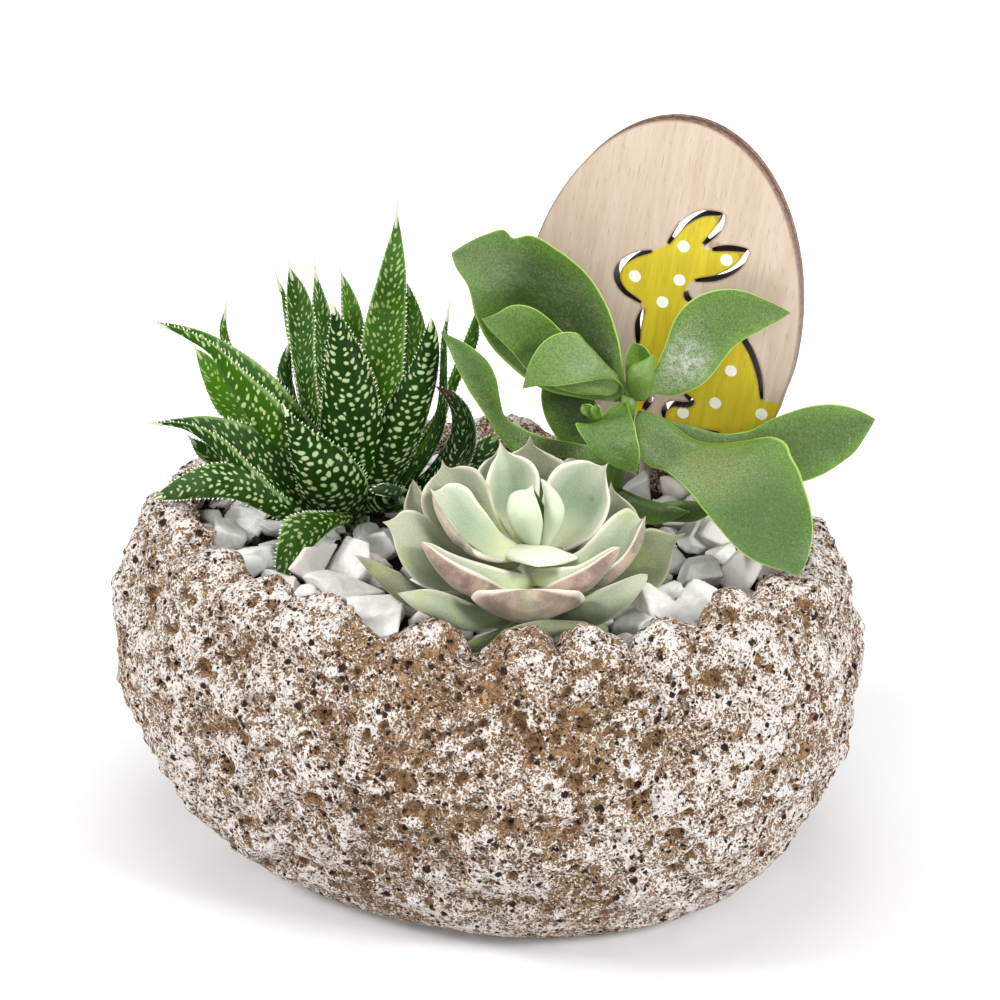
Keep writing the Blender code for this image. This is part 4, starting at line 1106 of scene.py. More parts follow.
# %% Build the aloe
spin = np.random.default_rng(21)
blades = [stem_shell(np.array([*FOOT["aloe"][:2], ROOT]), FOOT["aloe"] + [0, 0, 9], 6.4, 5.2,
                     thorn=0, sunlit=0, crowd=0)]
for number, (*leaf, sunlit, crowd, long) in enumerate(ALOE):
    blades.append(measured_leaf(leaf, number, thick=4.4, rows=64, around=28, thorn=0,
                                sunlit=sunlit, crowd=crowd))
    blades.extend(tooth_row(leaf, number, spin))
    if long:
        blades.append(hair(leaf, long, number))
aloe_shell = gathered(blades)
print(len(ALOE), "blades,", len(aloe_shell[1]), "triangles")


# %% Aloe finish
def aloe_finish():
    """Flecks in rows that curve: the way along is shortened by the square of the edge mask."""
    made, tree = new_finish("speckled aloe skin", 0.45, {"Specular IOR Level": 0.07})
    where = millimetres(tree)
    chart = put(tree, "Attribute", give="Vector", attribute_name="chart")
    edge, reach, under, sunlit, thorn, crowd = masks(tree, "edge", "reach", "under", "sunlit",
                                                     "thorn", "crowd")
    across, along = put(tree, "SeparateXYZ", {0: chart}, (0, 1))
    rows = put(tree, "CombineXYZ", {0: across * (crowd * -0.22 + 0.74),
                                    1: (along - edge * edge * 2.6) * 0.5, 2: under * 7.0})
    distance, number = put(tree, "TexVoronoi", {
        "Vector": pushed(rows, 0.45, 2.0, (0.9, 0.5, 0)), "Scale": 1.0, "Randomness": 0.68,
        "Smoothness": 0.25}, ("Distance", "Color"), voronoi_dimensions="2D", feature="SMOOTH_F1")
    own = put(tree, "SeparateColor", {0: number})
    wide = (own * 0.2 + 0.22) * (crowd * 0.25 + 0.75)
    patchy = ranged(crowd * 0.2 + speckle(chart, 0.16, 2, 0.5), 0.4, 0.58, to_low=0.1)
    fleck = ranged(1.0 - distance / wide, 0.0, 0.5) * patchy
    dark = mixed(speckle(where, 0.12, 3), (2, 21, 0), (13, 44, 1))
    light = mixed(speckle(where, 0.15, 2), (44, 96, 0), (86, 140, 12))
    sheen = ((1.0 - under) * ranged(reach, 0.2, 0.75, 0.2)
             * ranged(speckle(where, 0.1, 3, 0.6), 0.3, 0.6))
    dry = ranged(sunlit, 0.0, -0.3) * ranged(reach, 0.84, 0.97)
    skin = coated(mixed(sunlit, dark, light),
                  (ranged(reach, 0.35, 0.0, 0.35), (30, 56, 8)),
                  (sheen, (96, 128, 84)),
                  (fleck * 0.74, mixed(sunlit, (172, 190, 140), (178, 204, 110))),
                  (ranged(edge, 0.9, 0.985, 0.5), (140, 170, 104)),
                  (ranged(reach, 0.93, 1.0, 0.7), (150, 150, 90)),
                  (dry, (78, 56, 34)),
                  (thorn, (232, 236, 214)))
    rough = ranged(speckle(where, 0.7, 3), 0.3, 0.7, 0.5, to_low=0.34)
    return finish_with(made, skin, fleck * 0.6 + speckle(where, 1.2, 3, 0.6), 0.2, rough)


add_piece("speckled_blades", aloe_shell, [aloe_finish()], "speckled_aloe")

# %% [markdown]
# ## The rosette
# The pale plant in front is a powdery rosette. Its inner leaves stand up and are mint green with a
# creamy foot, and the outer ones lie low and turn grey-green; they are also painted darker, as the
# shade that falls on them. The front leaves are boats that turn their lilac backs to the viewer,
# with the near edge above the belly. All have a pale edge, and most a short pink point.

# %% Rosette leaves
# after the lean: blush of the back, and age and shade, from 0 for the innermost leaf to 1 for the
# lowest; the low leaves are darker, partly their own colour and partly painted shade
ROSETTE = leaf_rows("""
541,540 543,525 541,512 537,500 534,492 533,484 | 534,545,-28 523,517,-33 526,498,-31 533,484,-28 | 520,540
508,520 507,505 510,495 519,490 527,489 533,484 | 2 3 0 -.12;
553,538 562,520 564,508 560,497 552,487 546,481 540,478 | 546,545,-28 557,514,-31 552,494,-29 540,478,-27 |
542,540 544,515 544,498 542,486 540,478 | 3 2 0 -.12;
506,540 497,524 488,510 485,493 487,478 492,464 497,455 499,448 500,440 | 525,550,-27 512,505,-20
510,475,-17 503,452,-16 500,440,-16 | 530,535 536,510 539,490 538,473 532,463 522,457 512,454 505,449
500,440 | -4 -3 .1 .05;
540,540 541,515 545,490 551,474 560,465 573,461 588,461 598,465 603,466 609,462 | 545,552,-27 572,515,-21
590,485,-19 602,471,-19 609,462,-19 | 552,556 575,546 592,537 602,525 608,512 610,500 608,488 606,475
606,469 609,462 | -3 -4 .1 .1;
548,545 565,552 578,558 568,563 552,566 537,567 | 535,548,-29 536,557,-36 537,564,-39 537,567,-40 | 520,544
505,548 495,552 505,558 520,563 537,567 | 2 2 0 -.3;
522,560 495,560 478,553 465,540 452,523 443,511 437,500 433,493 429,486 | 525,556,-30 484,547,-36
459,533,-38 444,514,-37 435,499,-35 429,486,-34 | 522,548 500,532 488,515 478,502 468,488 457,483 447,484
440,489 434,491 429,486 | -3 8 .75 .15;
510,570 465,568 448,554 435,538 426,520 421,500 424,488 432,478 438,472 441,467 442,459 | 520,562,-28
475,530,-30 457,497,-28 447,477,-26 442,459,-25 | 515,550 495,510 486,482 474,468 460,466 450,468 446,466
442,459 | -5 -1 .35 .7;
515,545 484,513 476,500 474,486 477,472 485,461 494,455 499,446 | 527,548,-26 500,495,-18 497,470,-15
499,446,-14 | 530,530 522,490 515,465 506,455 499,446 | -3 4 .25 .45;
522,540 508,490 504,467 510,454 520,449 526,444 530,435 | 534,548,-25 534,490,-14 532,460,-11 530,435,-11 |
548,540 564,490 568,472 564,462 555,457 543,451 534,445 530,435 | -3 -3 .2 .85;
548,560 564,557 580,550 592,538 604,524 616,513 628,508 637,515 641,519 646,516 | 548,566,-31 572,573,-34
596,577,-37 613,568,-38 627,554,-37 636,541,-36 642,529,-35 646,516,-33 | 548,572 568,576 585,576 603,570
617,561 628,549 635,536 640,525 646,516 | 5 -2 .75 .4;
588,545 597,522 603,506 608,494 611,481 | 575,560,-23 608,522,-15 613,500,-14 611,481,-13 | 585,572 615,550
636,530 638,516 630,504 620,496 613,490 611,481 | -2 -3 .1 .85;
565,555 625,545 640,531 652,528 663,531 674,535 686,533 | 550,575,-28 625,572,-30 652,556,-29 670,543,-28
686,533,-28 | 565,592 610,602 630,602 645,599 657,590 666,578 671,563 673,550 677,541 686,533 | 3 -2 0 1.12;
520,569 545,567 562,567 578,565 592,558 604,551 613,547 621,547 | 535,582,-31 562,590,-41 585,584,-44
602,571,-44 613,559,-43 621,547,-41 | 530,590 545,586 560,579 577,571 592,563 604,555 613,550 621,547 | 6 1
1 .15;
530,592 505,588 490,579 472,570 455,562 440,553 430,546 420,541 | 530,586,-32 482,591,-43 458,582,-45
441,567,-44 429,554,-43 420,541,-42 | 542,576 520,573 502,569 485,564 465,558 447,551 433,544 420,541 | -1 6
1 .2;
542,586 560,595 576,601 585,599 582,593 566,590 548,589 529,589 | 533,586,-31 530,605,-45 528,616,-51
528,604,-54 529,589,-54 | 524,586 500,594 480,600 471,597 475,592 492,590 511,589 529,589 | 0 0 .9 .25;
505,600 455,592 432,588 415,580 403,566 396,550 392,535 388,527 382,522 | 520,582,-30 445,568,-38
418,545,-38 400,528,-36 382,522,-35 | 515,568 470,560 450,545 434,528 424,515 412,510 402,511 395,517
390,520 382,522 | -3 5 .2 .55;
480,560 415,520 404,508 407,495 413,479 | 515,560,-26 424,512,-24 415,497,-22 413,479,-21 | 485,545 432,512
423,495 418,486 413,479 | -2 -2 0 .85;
520,628 480,629 458,627 440,621 425,614 412,607 404,600 397,593 | 530,600,-34 470,622,-48 432,606,-52
412,598,-51 397,593,-50 | 515,612 486,613 470,603 455,596 440,591 425,589 410,591 397,593 | -1 4 .2 .45;
490,612 415,609 400,602 386,590 373,577 363,565 355,555 | 525,595,-32 405,593,-42 380,573,-43 366,562,-43
355,555,-43 | 490,595 420,587 405,577 390,568 375,561 365,557 355,555 | -2 3 0 1;
545,612 580,600 598,590 615,583 630,577 640,574 648,574 | 540,598,-34 595,610,-49 622,596,-50 638,583,-48
648,574,-46 | 555,628 585,628 603,623 620,613 633,601 642,589 647,580 648,574 | 4 -1 .25 .5;
604,642 578,637 550,636 530,639 512,645 503,644 495,638 | 604,632,-46 575,629,-52 548,629,-56 520,635,-57
495,638,-57 | 600,624 583,622 565,621 545,620 525,623 510,628 502,632 495,638 | -1 2 0 .95;
520,650 475,664 447,655 | 530,615,-38 480,652,-53 447,655,-54 | 520,630 475,638 447,655 | 0 1 0 1.15;
540,540 536,508 534,489 | 543,540,-28 541,508,-27 534,489,-27 | 546,540 545,508 534,489 | 1 1 0 1.3;
505,558 490,566 492,578 508,588 530,592 | 536,554,-26 536,570,-29 533,582,-31 530,592,-32 | 568,558 584,566
578,578 557,588 530,592 | 0 0 0 -.3""")

THIN_FIRST, THIN_LAST = 2, 22  # the first two leaves and those from the 22nd on are thin
foot = FOOT["rosette"]
petals = [stem_shell(np.array([*foot[:2], ROOT]), foot + [0, 0, 8], 6.4, 5, blush=0, age=0.5),
          stem_shell(foot + [0, 0, -3], foot + [0.4, 1, 5], 6, 4, blush=0, age=-0.15)]
for number, (*leaf, blush, age) in enumerate(ROSETTE):
    thick = 1.4 if number < THIN_FIRST else 4.4 if number < THIN_LAST else 1.0
    petals.append(measured_leaf(leaf, number, thick, rows=60, around=36, blush=blush, age=age))
rosette_shell = gathered(petals)
print(len(ROSETTE), "leaves,", len(rosette_shell[1]), "triangles")


# %% Rosette finish
def rosette_finish():
    """A face and a back, each from young to old, with the old leaves painted darker, partly as shade,
    then pale edges, blemishes, powder and point.
    """
    made, tree = new_finish("powdery rosette leaf", 0.58, {
        **lit_within(0.2, 0.002, (1.0, 0.9, 0.6)), "Sheen Weight": 0.12, "Sheen Roughness": 0.5})
    where = millimetres(tree)
    edge, reach, under, blush, age = masks(tree, "edge", "reach", "under", "blush", "age")
    cloudy, dust = speckle(where, 0.16, 3, 0.55), speckle(where, 3.4, 3, 0.75)
    young = mixed(cloudy, (112, 138, 104), (142, 160, 130))
    # the outer leaves' grey-green: partly their own colour, partly painted shade
    old_and_shaded = mixed(cloudy, (66, 74, 44), (102, 106, 72))
    face = coated(mixed(age, young, old_and_shaded),
                  (ranged(reach, 0.55, 0.05, 0.95),
                   mixed(age, (204, 210, 164), (100, 112, 60))),
                  (ranged(highest(edge, reach), 0.55, 0.97, 0.8),
                   mixed(age, (192, 196, 172), (122, 120, 90))))
    back = coated(mixed(age, (170, 188, 158), (108, 112, 78)),
                  (blush * ranged(edge, 0.0, 0.55, to_low=0.65),
                   mixed(ranged(cloudy, 0.35, 0.65), (108, 80, 70), (168, 138, 122))))
    grown = use(PATCHES, where, "Mask", Scale=0.11, Detail=3.0, Cut=0.6, Soft=0.08)
    blemish = use(SPOTS, where, "Mask", Scale=0.1, Share=0.35, Radius=0.12)
    skin = coated(mixed(under, face, back),
                  (ranged(edge, 0.88, 0.97, 0.8), mixed(age, (230, 222, 208), (168, 162, 134))),
                  (grown * ranged(age, 0.1, 0.5, 0.5), (128, 146, 66)),
                  (blemish * 0.6, (118, 84, 44)),
                  (ranged(dust, 0.35, 0.75, 0.2), (204, 204, 188)),
                  (ranged(dust, 0.5, 0.25, 0.3), (104, 96, 70)),
                  # the lowest leaves turn a deeper green, partly painted shade
                  (ranged(age, 1.05, 1.3), (60, 98, 28)),
                  (ranged(age, 0.0, -0.3, 0.8), (220, 222, 198)),
                  (ranged(reach, 0.96, 0.995), (178, 124, 98)))
    return finish_with(made, skin, cloudy * 1.5 + dust * 0.3, 0.25)


add_piece("powdery_rosette", rosette_shell, [rosette_finish()], "echeveria")

# %% [markdown]
# ## The leafy succulent
# Behind the rosette a thin stem carries broad, waved leaves with a translucent yellow-green edge.
# They are thinner than the others, so the light passes into them. The bud at the top is two small
# leaves that clasp each other.

# %% Broad leaves
# after the lean: shade in the middle, bloom, and how bright the green is
PADDLES = leaf_rows("""
616,402 580,398 540,388 510,366 490,345 476,318 467,285 455,266 451,253 | 622,398,13 592,345,19 545,295,22
500,264,19 451,253,14 | 625,390 620,350 609,310 590,278 558,250 528,235 512,238 505,230 485,234 465,244
451,253 | -1 -4 .9 .4 .2;
610,396 570,392 545,382 527,370 512,352 498,338 488,328 482,319 | 618,392,13 575,365,15 540,342,15
510,326,13 482,319,11 | 620,385 590,350 566,335 548,318 536,309 523,305 510,306 497,313 482,319 | -3 0 .2 .6
.45;
630,402 626,390 619,382 606,379 590,381 572,384 555,386 540,386 522,389 | 632,400,13 616,378,11 590,360,8
555,362,5 522,389,2 | 635,397 628,385 614,371 600,358 588,344 577,333 565,332 550,337 538,348 530,362
522,389 | -3 2 0 .7 .45;
640,392 650,378 658,362 667,340 674,320 685,305 700,295 715,290 732,289 748,292 762,298 777,305 791,313 |
643,395,13 675,371,14 705,341,15 745,316,15 791,313,15 | 645,399 655,394 670,396 685,393 700,386 712,375
722,362 733,348 745,339 760,331 775,323 791,313 | 1 -4 .2 1.1 .4;
625,402 632,418 637,436 640,455 636,474 | 628,404,12 616,420,6 610,440,1 620,460,-2 636,474,-4 | 622,402
610,408 600,419 588,424 576,423 583,438 597,455 615,467 636,474 | -2 1 .1 .3 .2;
640,411 655,414 668,421 680,430 692,438 705,442 725,443 745,441 760,438 775,437 787,444 791,455 799,470
804,485 810,505 813,525 811,547 806,563 799,577 | 638,412,13 662,446,6 700,472,-4 745,503,-17 778,542,-29
799,577,-36 | 635,420 637,440 641,458 650,466 665,471 680,482 692,495 705,511 720,530 735,547 752,560
770,567 786,572 799,577 | 9 -7 .2 .8 .05;
645,415 690,425 725,434 752,430 770,420 790,412 810,406 830,404 846,406 861,411 876,419 | 640,415,13
700,440,12 760,445,12 820,440,13 876,419,15 | 640,432 690,458 740,474 780,482 802,482 820,476 840,464
855,452 866,436 876,419 | 2 -3 .5 .2 .35;
612,462 570,458 540,453 512,451 500,438 487,417 470,392 456,366 448,347 440,331 | 612,456,14 560,449,11
520,438,9 497,418,6 481,388,5 462,354,5 440,331,5 | 612,450 575,443 545,437 520,427 505,416 500,398 496,377
487,360 468,345 440,331 | -2 0 .4 .6 .25;
612,452 565,445 547,422 541,395 550,368 562,356 | 614,446,16 585,425,20 568,395,21 562,356,20 | 618,440
600,420 594,395 584,370 562,356 | -1 -1 .9 .1 .1;
596,424 588,418 581,410 582,404 | 600,424,10 590,414,6 582,404,5 | 604,422 597,412 591,405 582,404 | -1 -1 0
0 1;
604,424 593,418 591,410 596,404 | 604,423,10 597,414,6 596,404,5 | 606,420 601,412 600,407 596,404 | -1 -1 0
0 1;
612,480 590,492 566,490 545,470 | 612,470,18 590,476,24 568,474,28 545,470,30 | 615,462 595,460 572,460
545,470 | 0 0 .7 .1 .1;
618,490 650,500 675,506 690,512 | 612,488,17 645,508,6 668,512,-2 690,512,-6 | 608,500 635,522 660,524
690,512 | 0 0 .8 0 .1;
622,500 645,507 670,501 700,502 718,508 | 612,496,17 640,515,8 670,512,2 718,508,-2 | 608,505 635,524
665,522 700,520 718,508 | 0 0 .8 0 .12;
634,395 626,375 627,352 633,343 | 639,396,14 640,372,16 638,354,16 633,343,15 | 646,395 654,372 650,354
642,345 633,343 | -2 -2 0 .3 .9;
646,396 652,384 655,368 654,354 | 640,398,13 640,378,9 646,363,10 654,354,11 | 633,395 626,378 632,365
643,361 654,354 | 2 2 0 .3 1""")

foot = FOOT["shoot"]
broad = [stem_shell(np.array([*foot[:2], ROOT]), foot, 3.3, 3.3, shade=0.1, bloom=0, bright=0.4),
         stem_shell(foot - [0, 0, 1], SHOOT_HEAD + [0, 0, 3], 3.3, 2.2, shade=0.1, bloom=0,
                    bright=0.6)]
BIG = {"thick": 2.8, "rows": 84, "around": 40, "relief": 0.2}
SMALL = {"thick": 2.2, "rows": 40, "around": 24}
for number, (*leaf, shade, bloom, bright) in enumerate(PADDLES):
    broad.append(measured_leaf(leaf, number, **(BIG if number < 9 else SMALL), shade=shade,
                               bloom=bloom, bright=bright))
shoot_shell = gathered(broad)
print(len(PADDLES), "leaves,", len(shoot_shell[1]), "triangles")


# %% Broad leaf finish
# paler and darker patches about a point: pixel and distance, mm where they fade out and are full,
# share, colour
LEAF_PATCHES = (((738, 343, 15), 1.6, 0.5, 1.0, (206, 212, 176)),
              ((775, 535, -28), 24, 8, 0.5, (40, 76, 12)),
              ((716, 474, -5), 17, 4, 0.26, (140, 150, 92)),
              ((478, 268, 17), 17, 4, 0.5, (126, 150, 102)))


def broad_leaf_finish():
    """Dark along the middle, then bloom, paler and darker patches, dust and a translucent edge."""
    made, tree = new_finish("broad green leaf", 0.4, lit_within(0.1, 0.0015, (0.5, 1.0, 0.3)))
    where = millimetres(tree)
    edge, reach, under, shade, blooming, bright = masks(tree, "edge", "reach", "under", "shade",
                                                        "bloom", "bright")
    cloudy, dust = speckle(where, 0.06, 4, 0.5), speckle(where, 1.9, 5, 0.95)
    middle = ranged(edge, 0.95, 0.2) * shade * ranged(cloudy, 0.3, 0.6, 0.9, to_low=0.6)
    frost = (ranged(speckle(where, 0.05, 3, 0.5), 0.3, 0.7, 0.75, to_low=0.25)
             * ranged(dust, 0.4, 0.6, to_low=0.1) * ranged(edge, 0.98, 0.6)
             * ranged(reach, 0.05, 0.75, 0.05, to_low=1.0))
    haze = (close_to(where, mark(688, 360, 14), 9, 1)
            * ranged(speckle(where, 0.45, 3, 0.6), 0.42, 0.62, 0.65, to_low=0.1))
    # paler and darker patches, each fading out from its point
    leaf_patches = [(close_to(where, mark(*at), gone, full) * share, tone)
             for at, gone, full, share, tone in LEAF_PATCHES]
    skin = coated(mixed(cloudy, (42, 80, 10), (76, 112, 28)),
                  (bright, (98, 132, 44)),
                  (middle, (16, 42, 2)),
                  (ranged(edge, 0.6, 0.96, 0.4), (90, 132, 30)),
                  (frost * blooming, (162, 168, 140)),
                  (haze, (186, 194, 186)),
                  *leaf_patches,
                  (ranged(dust, 0.53, 0.36, 0.8), (34, 60, 8)),
                  (ranged(dust, 0.5, 0.66, 0.32), (150, 170, 90)),
                  (ranged(under, 0.2, 0.9, 0.3), (86, 120, 44)),
                  (ranged(edge, 0.955, 0.99, 0.8), (158, 182, 84)),
                  (ranged(reach, 0.975, 1.0, 0.7), (150, 120, 70)),
                  (ranged(reach, 0.2, 0.0, 0.6), (92, 128, 40)))
    height = speckle(where, 0.3, 3, 0.5) * 2.0 + dust * 0.45
    return finish_with(made, skin, height, 0.2, ranged(dust, 0.3, 0.7, 0.46, to_low=0.3))


add_piece("broad_leaves", shoot_shell, [broad_leaf_finish()], "leafy_shoot")

# %% [markdown]
# ## The plywood egg
# The egg is sawn by laser from thin plywood: its edge and its slots are burnt brown. The slots
# follow a sitting rabbit, painted yellow with white dots. The board is flat, so its face is one
# plane cut into triangles along every outline, and each triangle gets the finish of its region.

# %% Outlines on the board
# mm to the right and up from the middle of the board's widest line
EGG_CENTRE = np.array([27.2, 42.8, 136.0])
HALF, ABOVE, BELOW, THICK = 38.0, 58.5, 37.5, 5.5
SLOT_WIDTH, DOT_RADIUS = 1.7, 1.65
SLOTS = (
    ((-5, 21.2), (-9.4, 18.8), (-12.7, 15), (-13, 11.4), (-10.4, 8.2), (-5.4, 6.2)),
    ((-1.1, 24.4), (1.8, 30.6), (6.2, 34.8), (11.6, 36.2)),
    ((12, 36), (11.2, 31.6), (8.2, 26.7)),
    ((10.7, 25.9), (15, 27.4), (20, 28.1)),
    ((20.2, 27.8), (18.2, 22.8), (13.6, 18.6), (7.8, 16.2)),
    ((6, 12.6), (6.6, 11), (8.2, 10.2)),
    ((-4.4, 4.6), (-5.1, 0), (-4.2, -5.6)),
    ((12, 9.9), (18.8, 7.4), (25, 2), (29.4, -5), (31.6, -12)),
    ((2.2, -19.6), (0.6, -24)),
    ((10.9, -16.4), (13.2, -18), (11.6, -19.4), (8, -20.2), (6.2, -22.4), (6.5, -24.8)),
    ((10.4, -25.6), (16.3, -25.9), (22.2, -25)),
)
# the paint's outline goes from slot to slot
RABBIT = (SLOTS[0][0], (-3, 22.6), *SLOTS[1], *SLOTS[2], (9.2, 25.3), *SLOTS[3], *SLOTS[4],
          (6.2, 14.4), *SLOTS[5], *SLOTS[7], (34, -11.9), (39, -12.4), (40, -18), (36, -22.6),
          (31.7, -22.9), (27, -24.6), *SLOTS[10][::-1], *SLOTS[9][::-1], (11.4, -13.6),
          (8.8, -11.4), (5.2, -12.8), *SLOTS[8], (-0.6, -25.2), (-3.4, -25), (-4.6, -18),
          *SLOTS[6][::-1], *SLOTS[0][:0:-1])
DOTS = ((3.1, 24.7), (15, 24), (-8.3, 13.1), (3.7, 15.2), (0.3, 7.9), (21.9, -6.3), (19.5, -16.6),
        (11.4, -21.9), (32.3, -16.2))


def smooth_line(path, fine, closed=False):
    """A Catmull-Rom curve, ½(2b + (c-a)t + (2a-5b+4c-d)t² + (3b-3c+d-a)t³) between b and c."""
    k = np.array(path, float)
    k = np.concatenate([k[-1:], k, k[:2]]) if closed else np.concatenate(
        [[2 * k[0] - k[1]], k, [2 * k[-1] - k[-2]]])
    t = (np.arange(fine) / fine)[None, :, None]
    a, b, c, d = (k[i:len(k) - 3 + i, None] for i in range(4))
    line = 0.5 * (2 * b + (c - a) * t + (2 * a - 5 * b + 4 * c - d) * t ** 2
                  + (3 * b - 3 * c + d - a) * t ** 3)
    line = line.reshape(-1, 2)
    return line if closed else np.concatenate([line, k[-2:-1]])


def slot_loop(path):
    """Both sides of a line, half the width × sin^0.35 away, so that the slot's ends are pointed."""
    line = smooth_line(path, 6)
    ahead = unit(np.gradient(line, axis=0))
    half = SLOT_WIDTH / 2 * np.sin(np.pi * (np.arange(len(line)) + 0.5) / len(line)) ** 0.35
    out = np.stack([-ahead[:, 1], ahead[:, 0]], -1) * half[:, None]
    return np.concatenate([line + out, (line - out)[::-1]])


def egg_loop(count=260):
    """Two half ellipses of one width, the upper one taller, and the small bump of the tail."""
    turn = round_turn(count)
    off = np.remainder(turn + np.radians(29) + np.pi, 2 * np.pi) - np.pi
    out = 1 + 0.055 * np.exp(-(off / 0.17) ** 2)
    tall = np.where(np.sin(turn) > 0, ABOVE, BELOW)
    return np.stack([HALF * np.cos(turn) * out, tall * np.sin(turn) * out], -1)


def dot_loop(centre):
    """A round outline."""
    turn = round_turn(20)
    return np.array(centre) + DOT_RADIUS * np.stack([np.cos(turn), np.sin(turn)], -1)


def is_inside(points, loop):
    """Even-odd rule: inside, a ray to the right crosses the loop an odd number of times."""
    a, b = loop, np.roll(loop, -1, axis=0)
    x, y = points[:, :1], points[:, 1:]
    spans = (a[:, 1] > y) != (b[:, 1] > y)
    climb = np.where(b[:, 1] == a[:, 1], 1, b[:, 1] - a[:, 1])
    at = a[:, 0] + (y - a[:, 1]) / climb * (b[:, 0] - a[:, 0])
    return ((spans & (x < at)).sum(1) % 2) == 1


outer, slots = egg_loop(), [slot_loop(path) for path in SLOTS]
rabbit = smooth_line(RABBIT, 4, closed=True)
dots = [dot_loop(centre) for centre in DOTS]
print(len(outer), "points round the egg,", sum(map(len, slots)), "round the slots")


# %% Triangles of the face
GRID_STEP = 1.6


def board_face():
    """Delaunay triangles that keep every outline; each is kept or dropped by its middle."""
    loops = [outer, *slots, rabbit, *dots]
    across, up = (np.arange(-37, end, GRID_STEP) for end in (38, 58))
    grid = np.stack(np.meshgrid(across, up), -1).reshape(-1, 2)
    grid = grid[is_inside(grid, outer * 0.985)]
    points = np.concatenate(loops + [grid])
    starts = np.cumsum([0] + [len(loop) for loop in loops])
    edges = [(start + i, start + (i + 1) % len(loop)) for start, loop in zip(starts, loops)
             for i in range(len(loop))]
    found = geometry.delaunay_2d_cdt([Vector(p) for p in points], edges, [], 0, 1e-5)
    flat = np.array([tuple(p) for p in found[0]])
    faces = np.array([tuple(f) for f in found[2]])
    middle = flat[faces].mean(1)
    kept = is_inside(middle, outer)
    for slot in slots:
        kept &= ~is_inside(middle, slot)
    faces, middle = faces[kept], middle[kept]
    painted = is_inside(middle, rabbit)
    dotted = np.any([is_inside(middle, dot) for dot in dots], axis=0)
    used, faces = np.unique(faces, return_inverse=True)
    return flat[used], faces.reshape(-1, 3), np.where(dotted & painted, 2, painted.astype(int))


face_points, face_faces, face_kinds = board_face()
a, b, c = (face_points[face_faces[:, k]] for k in range(3))
turned = np.cross(b - a, c - a) < 0
face_faces[turned] = face_faces[turned][:, ::-1]
print(len(face_faces), "triangles on the board's face; finishes:", np.bincount(face_kinds))


# %% Board with its sawn edges
def board_shell(layers=6):
    """The face in front, its copy behind, and rows of wall along every edge that one face owns."""
    pairs = np.concatenate([face_faces[:, two] for two in ([0, 1], [1, 2], [2, 0])])
    key = np.sort(pairs, axis=1)
    _, first, count = np.unique(key, axis=0, return_index=True, return_counts=True)
    rim_edges = pairs[first[count == 1]]
    n = len(face_points)
    rim_points, local = np.unique(rim_edges, return_inverse=True)
    local = local.reshape(-1, 2)
    depth = np.linspace(THICK / 2, -THICK / 2, layers + 1)
    points = [np.concatenate([face_points, np.full((n, 1), THICK / 2)], 1)]
    points += [np.concatenate([face_points[rim_points], np.full((len(rim_points), 1), z)], 1)
               for z in depth[1:-1]]
    points += [np.concatenate([face_points, np.full((n, 1), -THICK / 2)], 1)]
    row = [rim_points]
    row += [n + k * len(rim_points) + np.arange(len(rim_points)) for k in range(layers - 1)]
    back_start = n + (layers - 1) * len(rim_points)
    row.append(back_start + rim_points)
    walls = []
    for upper, lower in zip(row, row[1:]):
        p, q = upper[local[:, 0]], upper[local[:, 1]]
        r, s = lower[local[:, 1]], lower[local[:, 0]]
        walls += [np.stack([q, p, s], -1), np.stack([q, s, r], -1)]
    walls = np.concatenate(walls)
    faces = np.concatenate([face_faces, face_faces[:, ::-1] + back_start, walls])
    kinds = np.concatenate([face_kinds, np.zeros(len(face_faces), int), np.full(len(walls), 3)])
    return np.concatenate(points), faces, kinds


def far_from(points, *cuts):
    """How far each point is from the nearest point of some cuts, in mm."""
    cut = np.concatenate(cuts)
    return np.concatenate([np.linalg.norm(part[:, None, :2] - cut[None], axis=2).min(1)
                           for part in np.array_split(points, 20)])


flat_board, board_faces, board_kinds = board_shell()
# the board is turned a little about the vertical, and leans to the right
yaw, roll = np.radians(-4), np.radians(8.6)
level = np.array([np.cos(yaw), np.sin(yaw), 0])
board_right = level * np.cos(roll) - UP * np.sin(roll)
board_up = UP * np.cos(roll) + level * np.sin(roll)
board_front = np.cross(board_right, board_up)
board_points = EGG_CENTRE + flat_board @ np.array([board_right, board_up, board_front])
board_masks = {"sheet": flat_board, "burn": far_from(flat_board, outer, *slots),
               "slot": (far_from(flat_board, *slots) < 0.05).astype(float)}
print("board:", len(board_faces), "triangles")


# %% Wood, paint and burnt edge
GRAIN, (place, scale) = new_group("wood grain", Scale=1.0)
stretch = put(GRAIN, "VectorMath", {0: place, 1: (1.0, 0.07, 1.0)}, operation="MULTIPLY")
give_out(GRAIN, Streak=speckle(stretch, scale * 0.55, 4, 0.6, 0.4),
         Pore=ranged(speckle(stretch, scale * 2.6, 2, 0.5, 0.2), 0.64, 0.74))


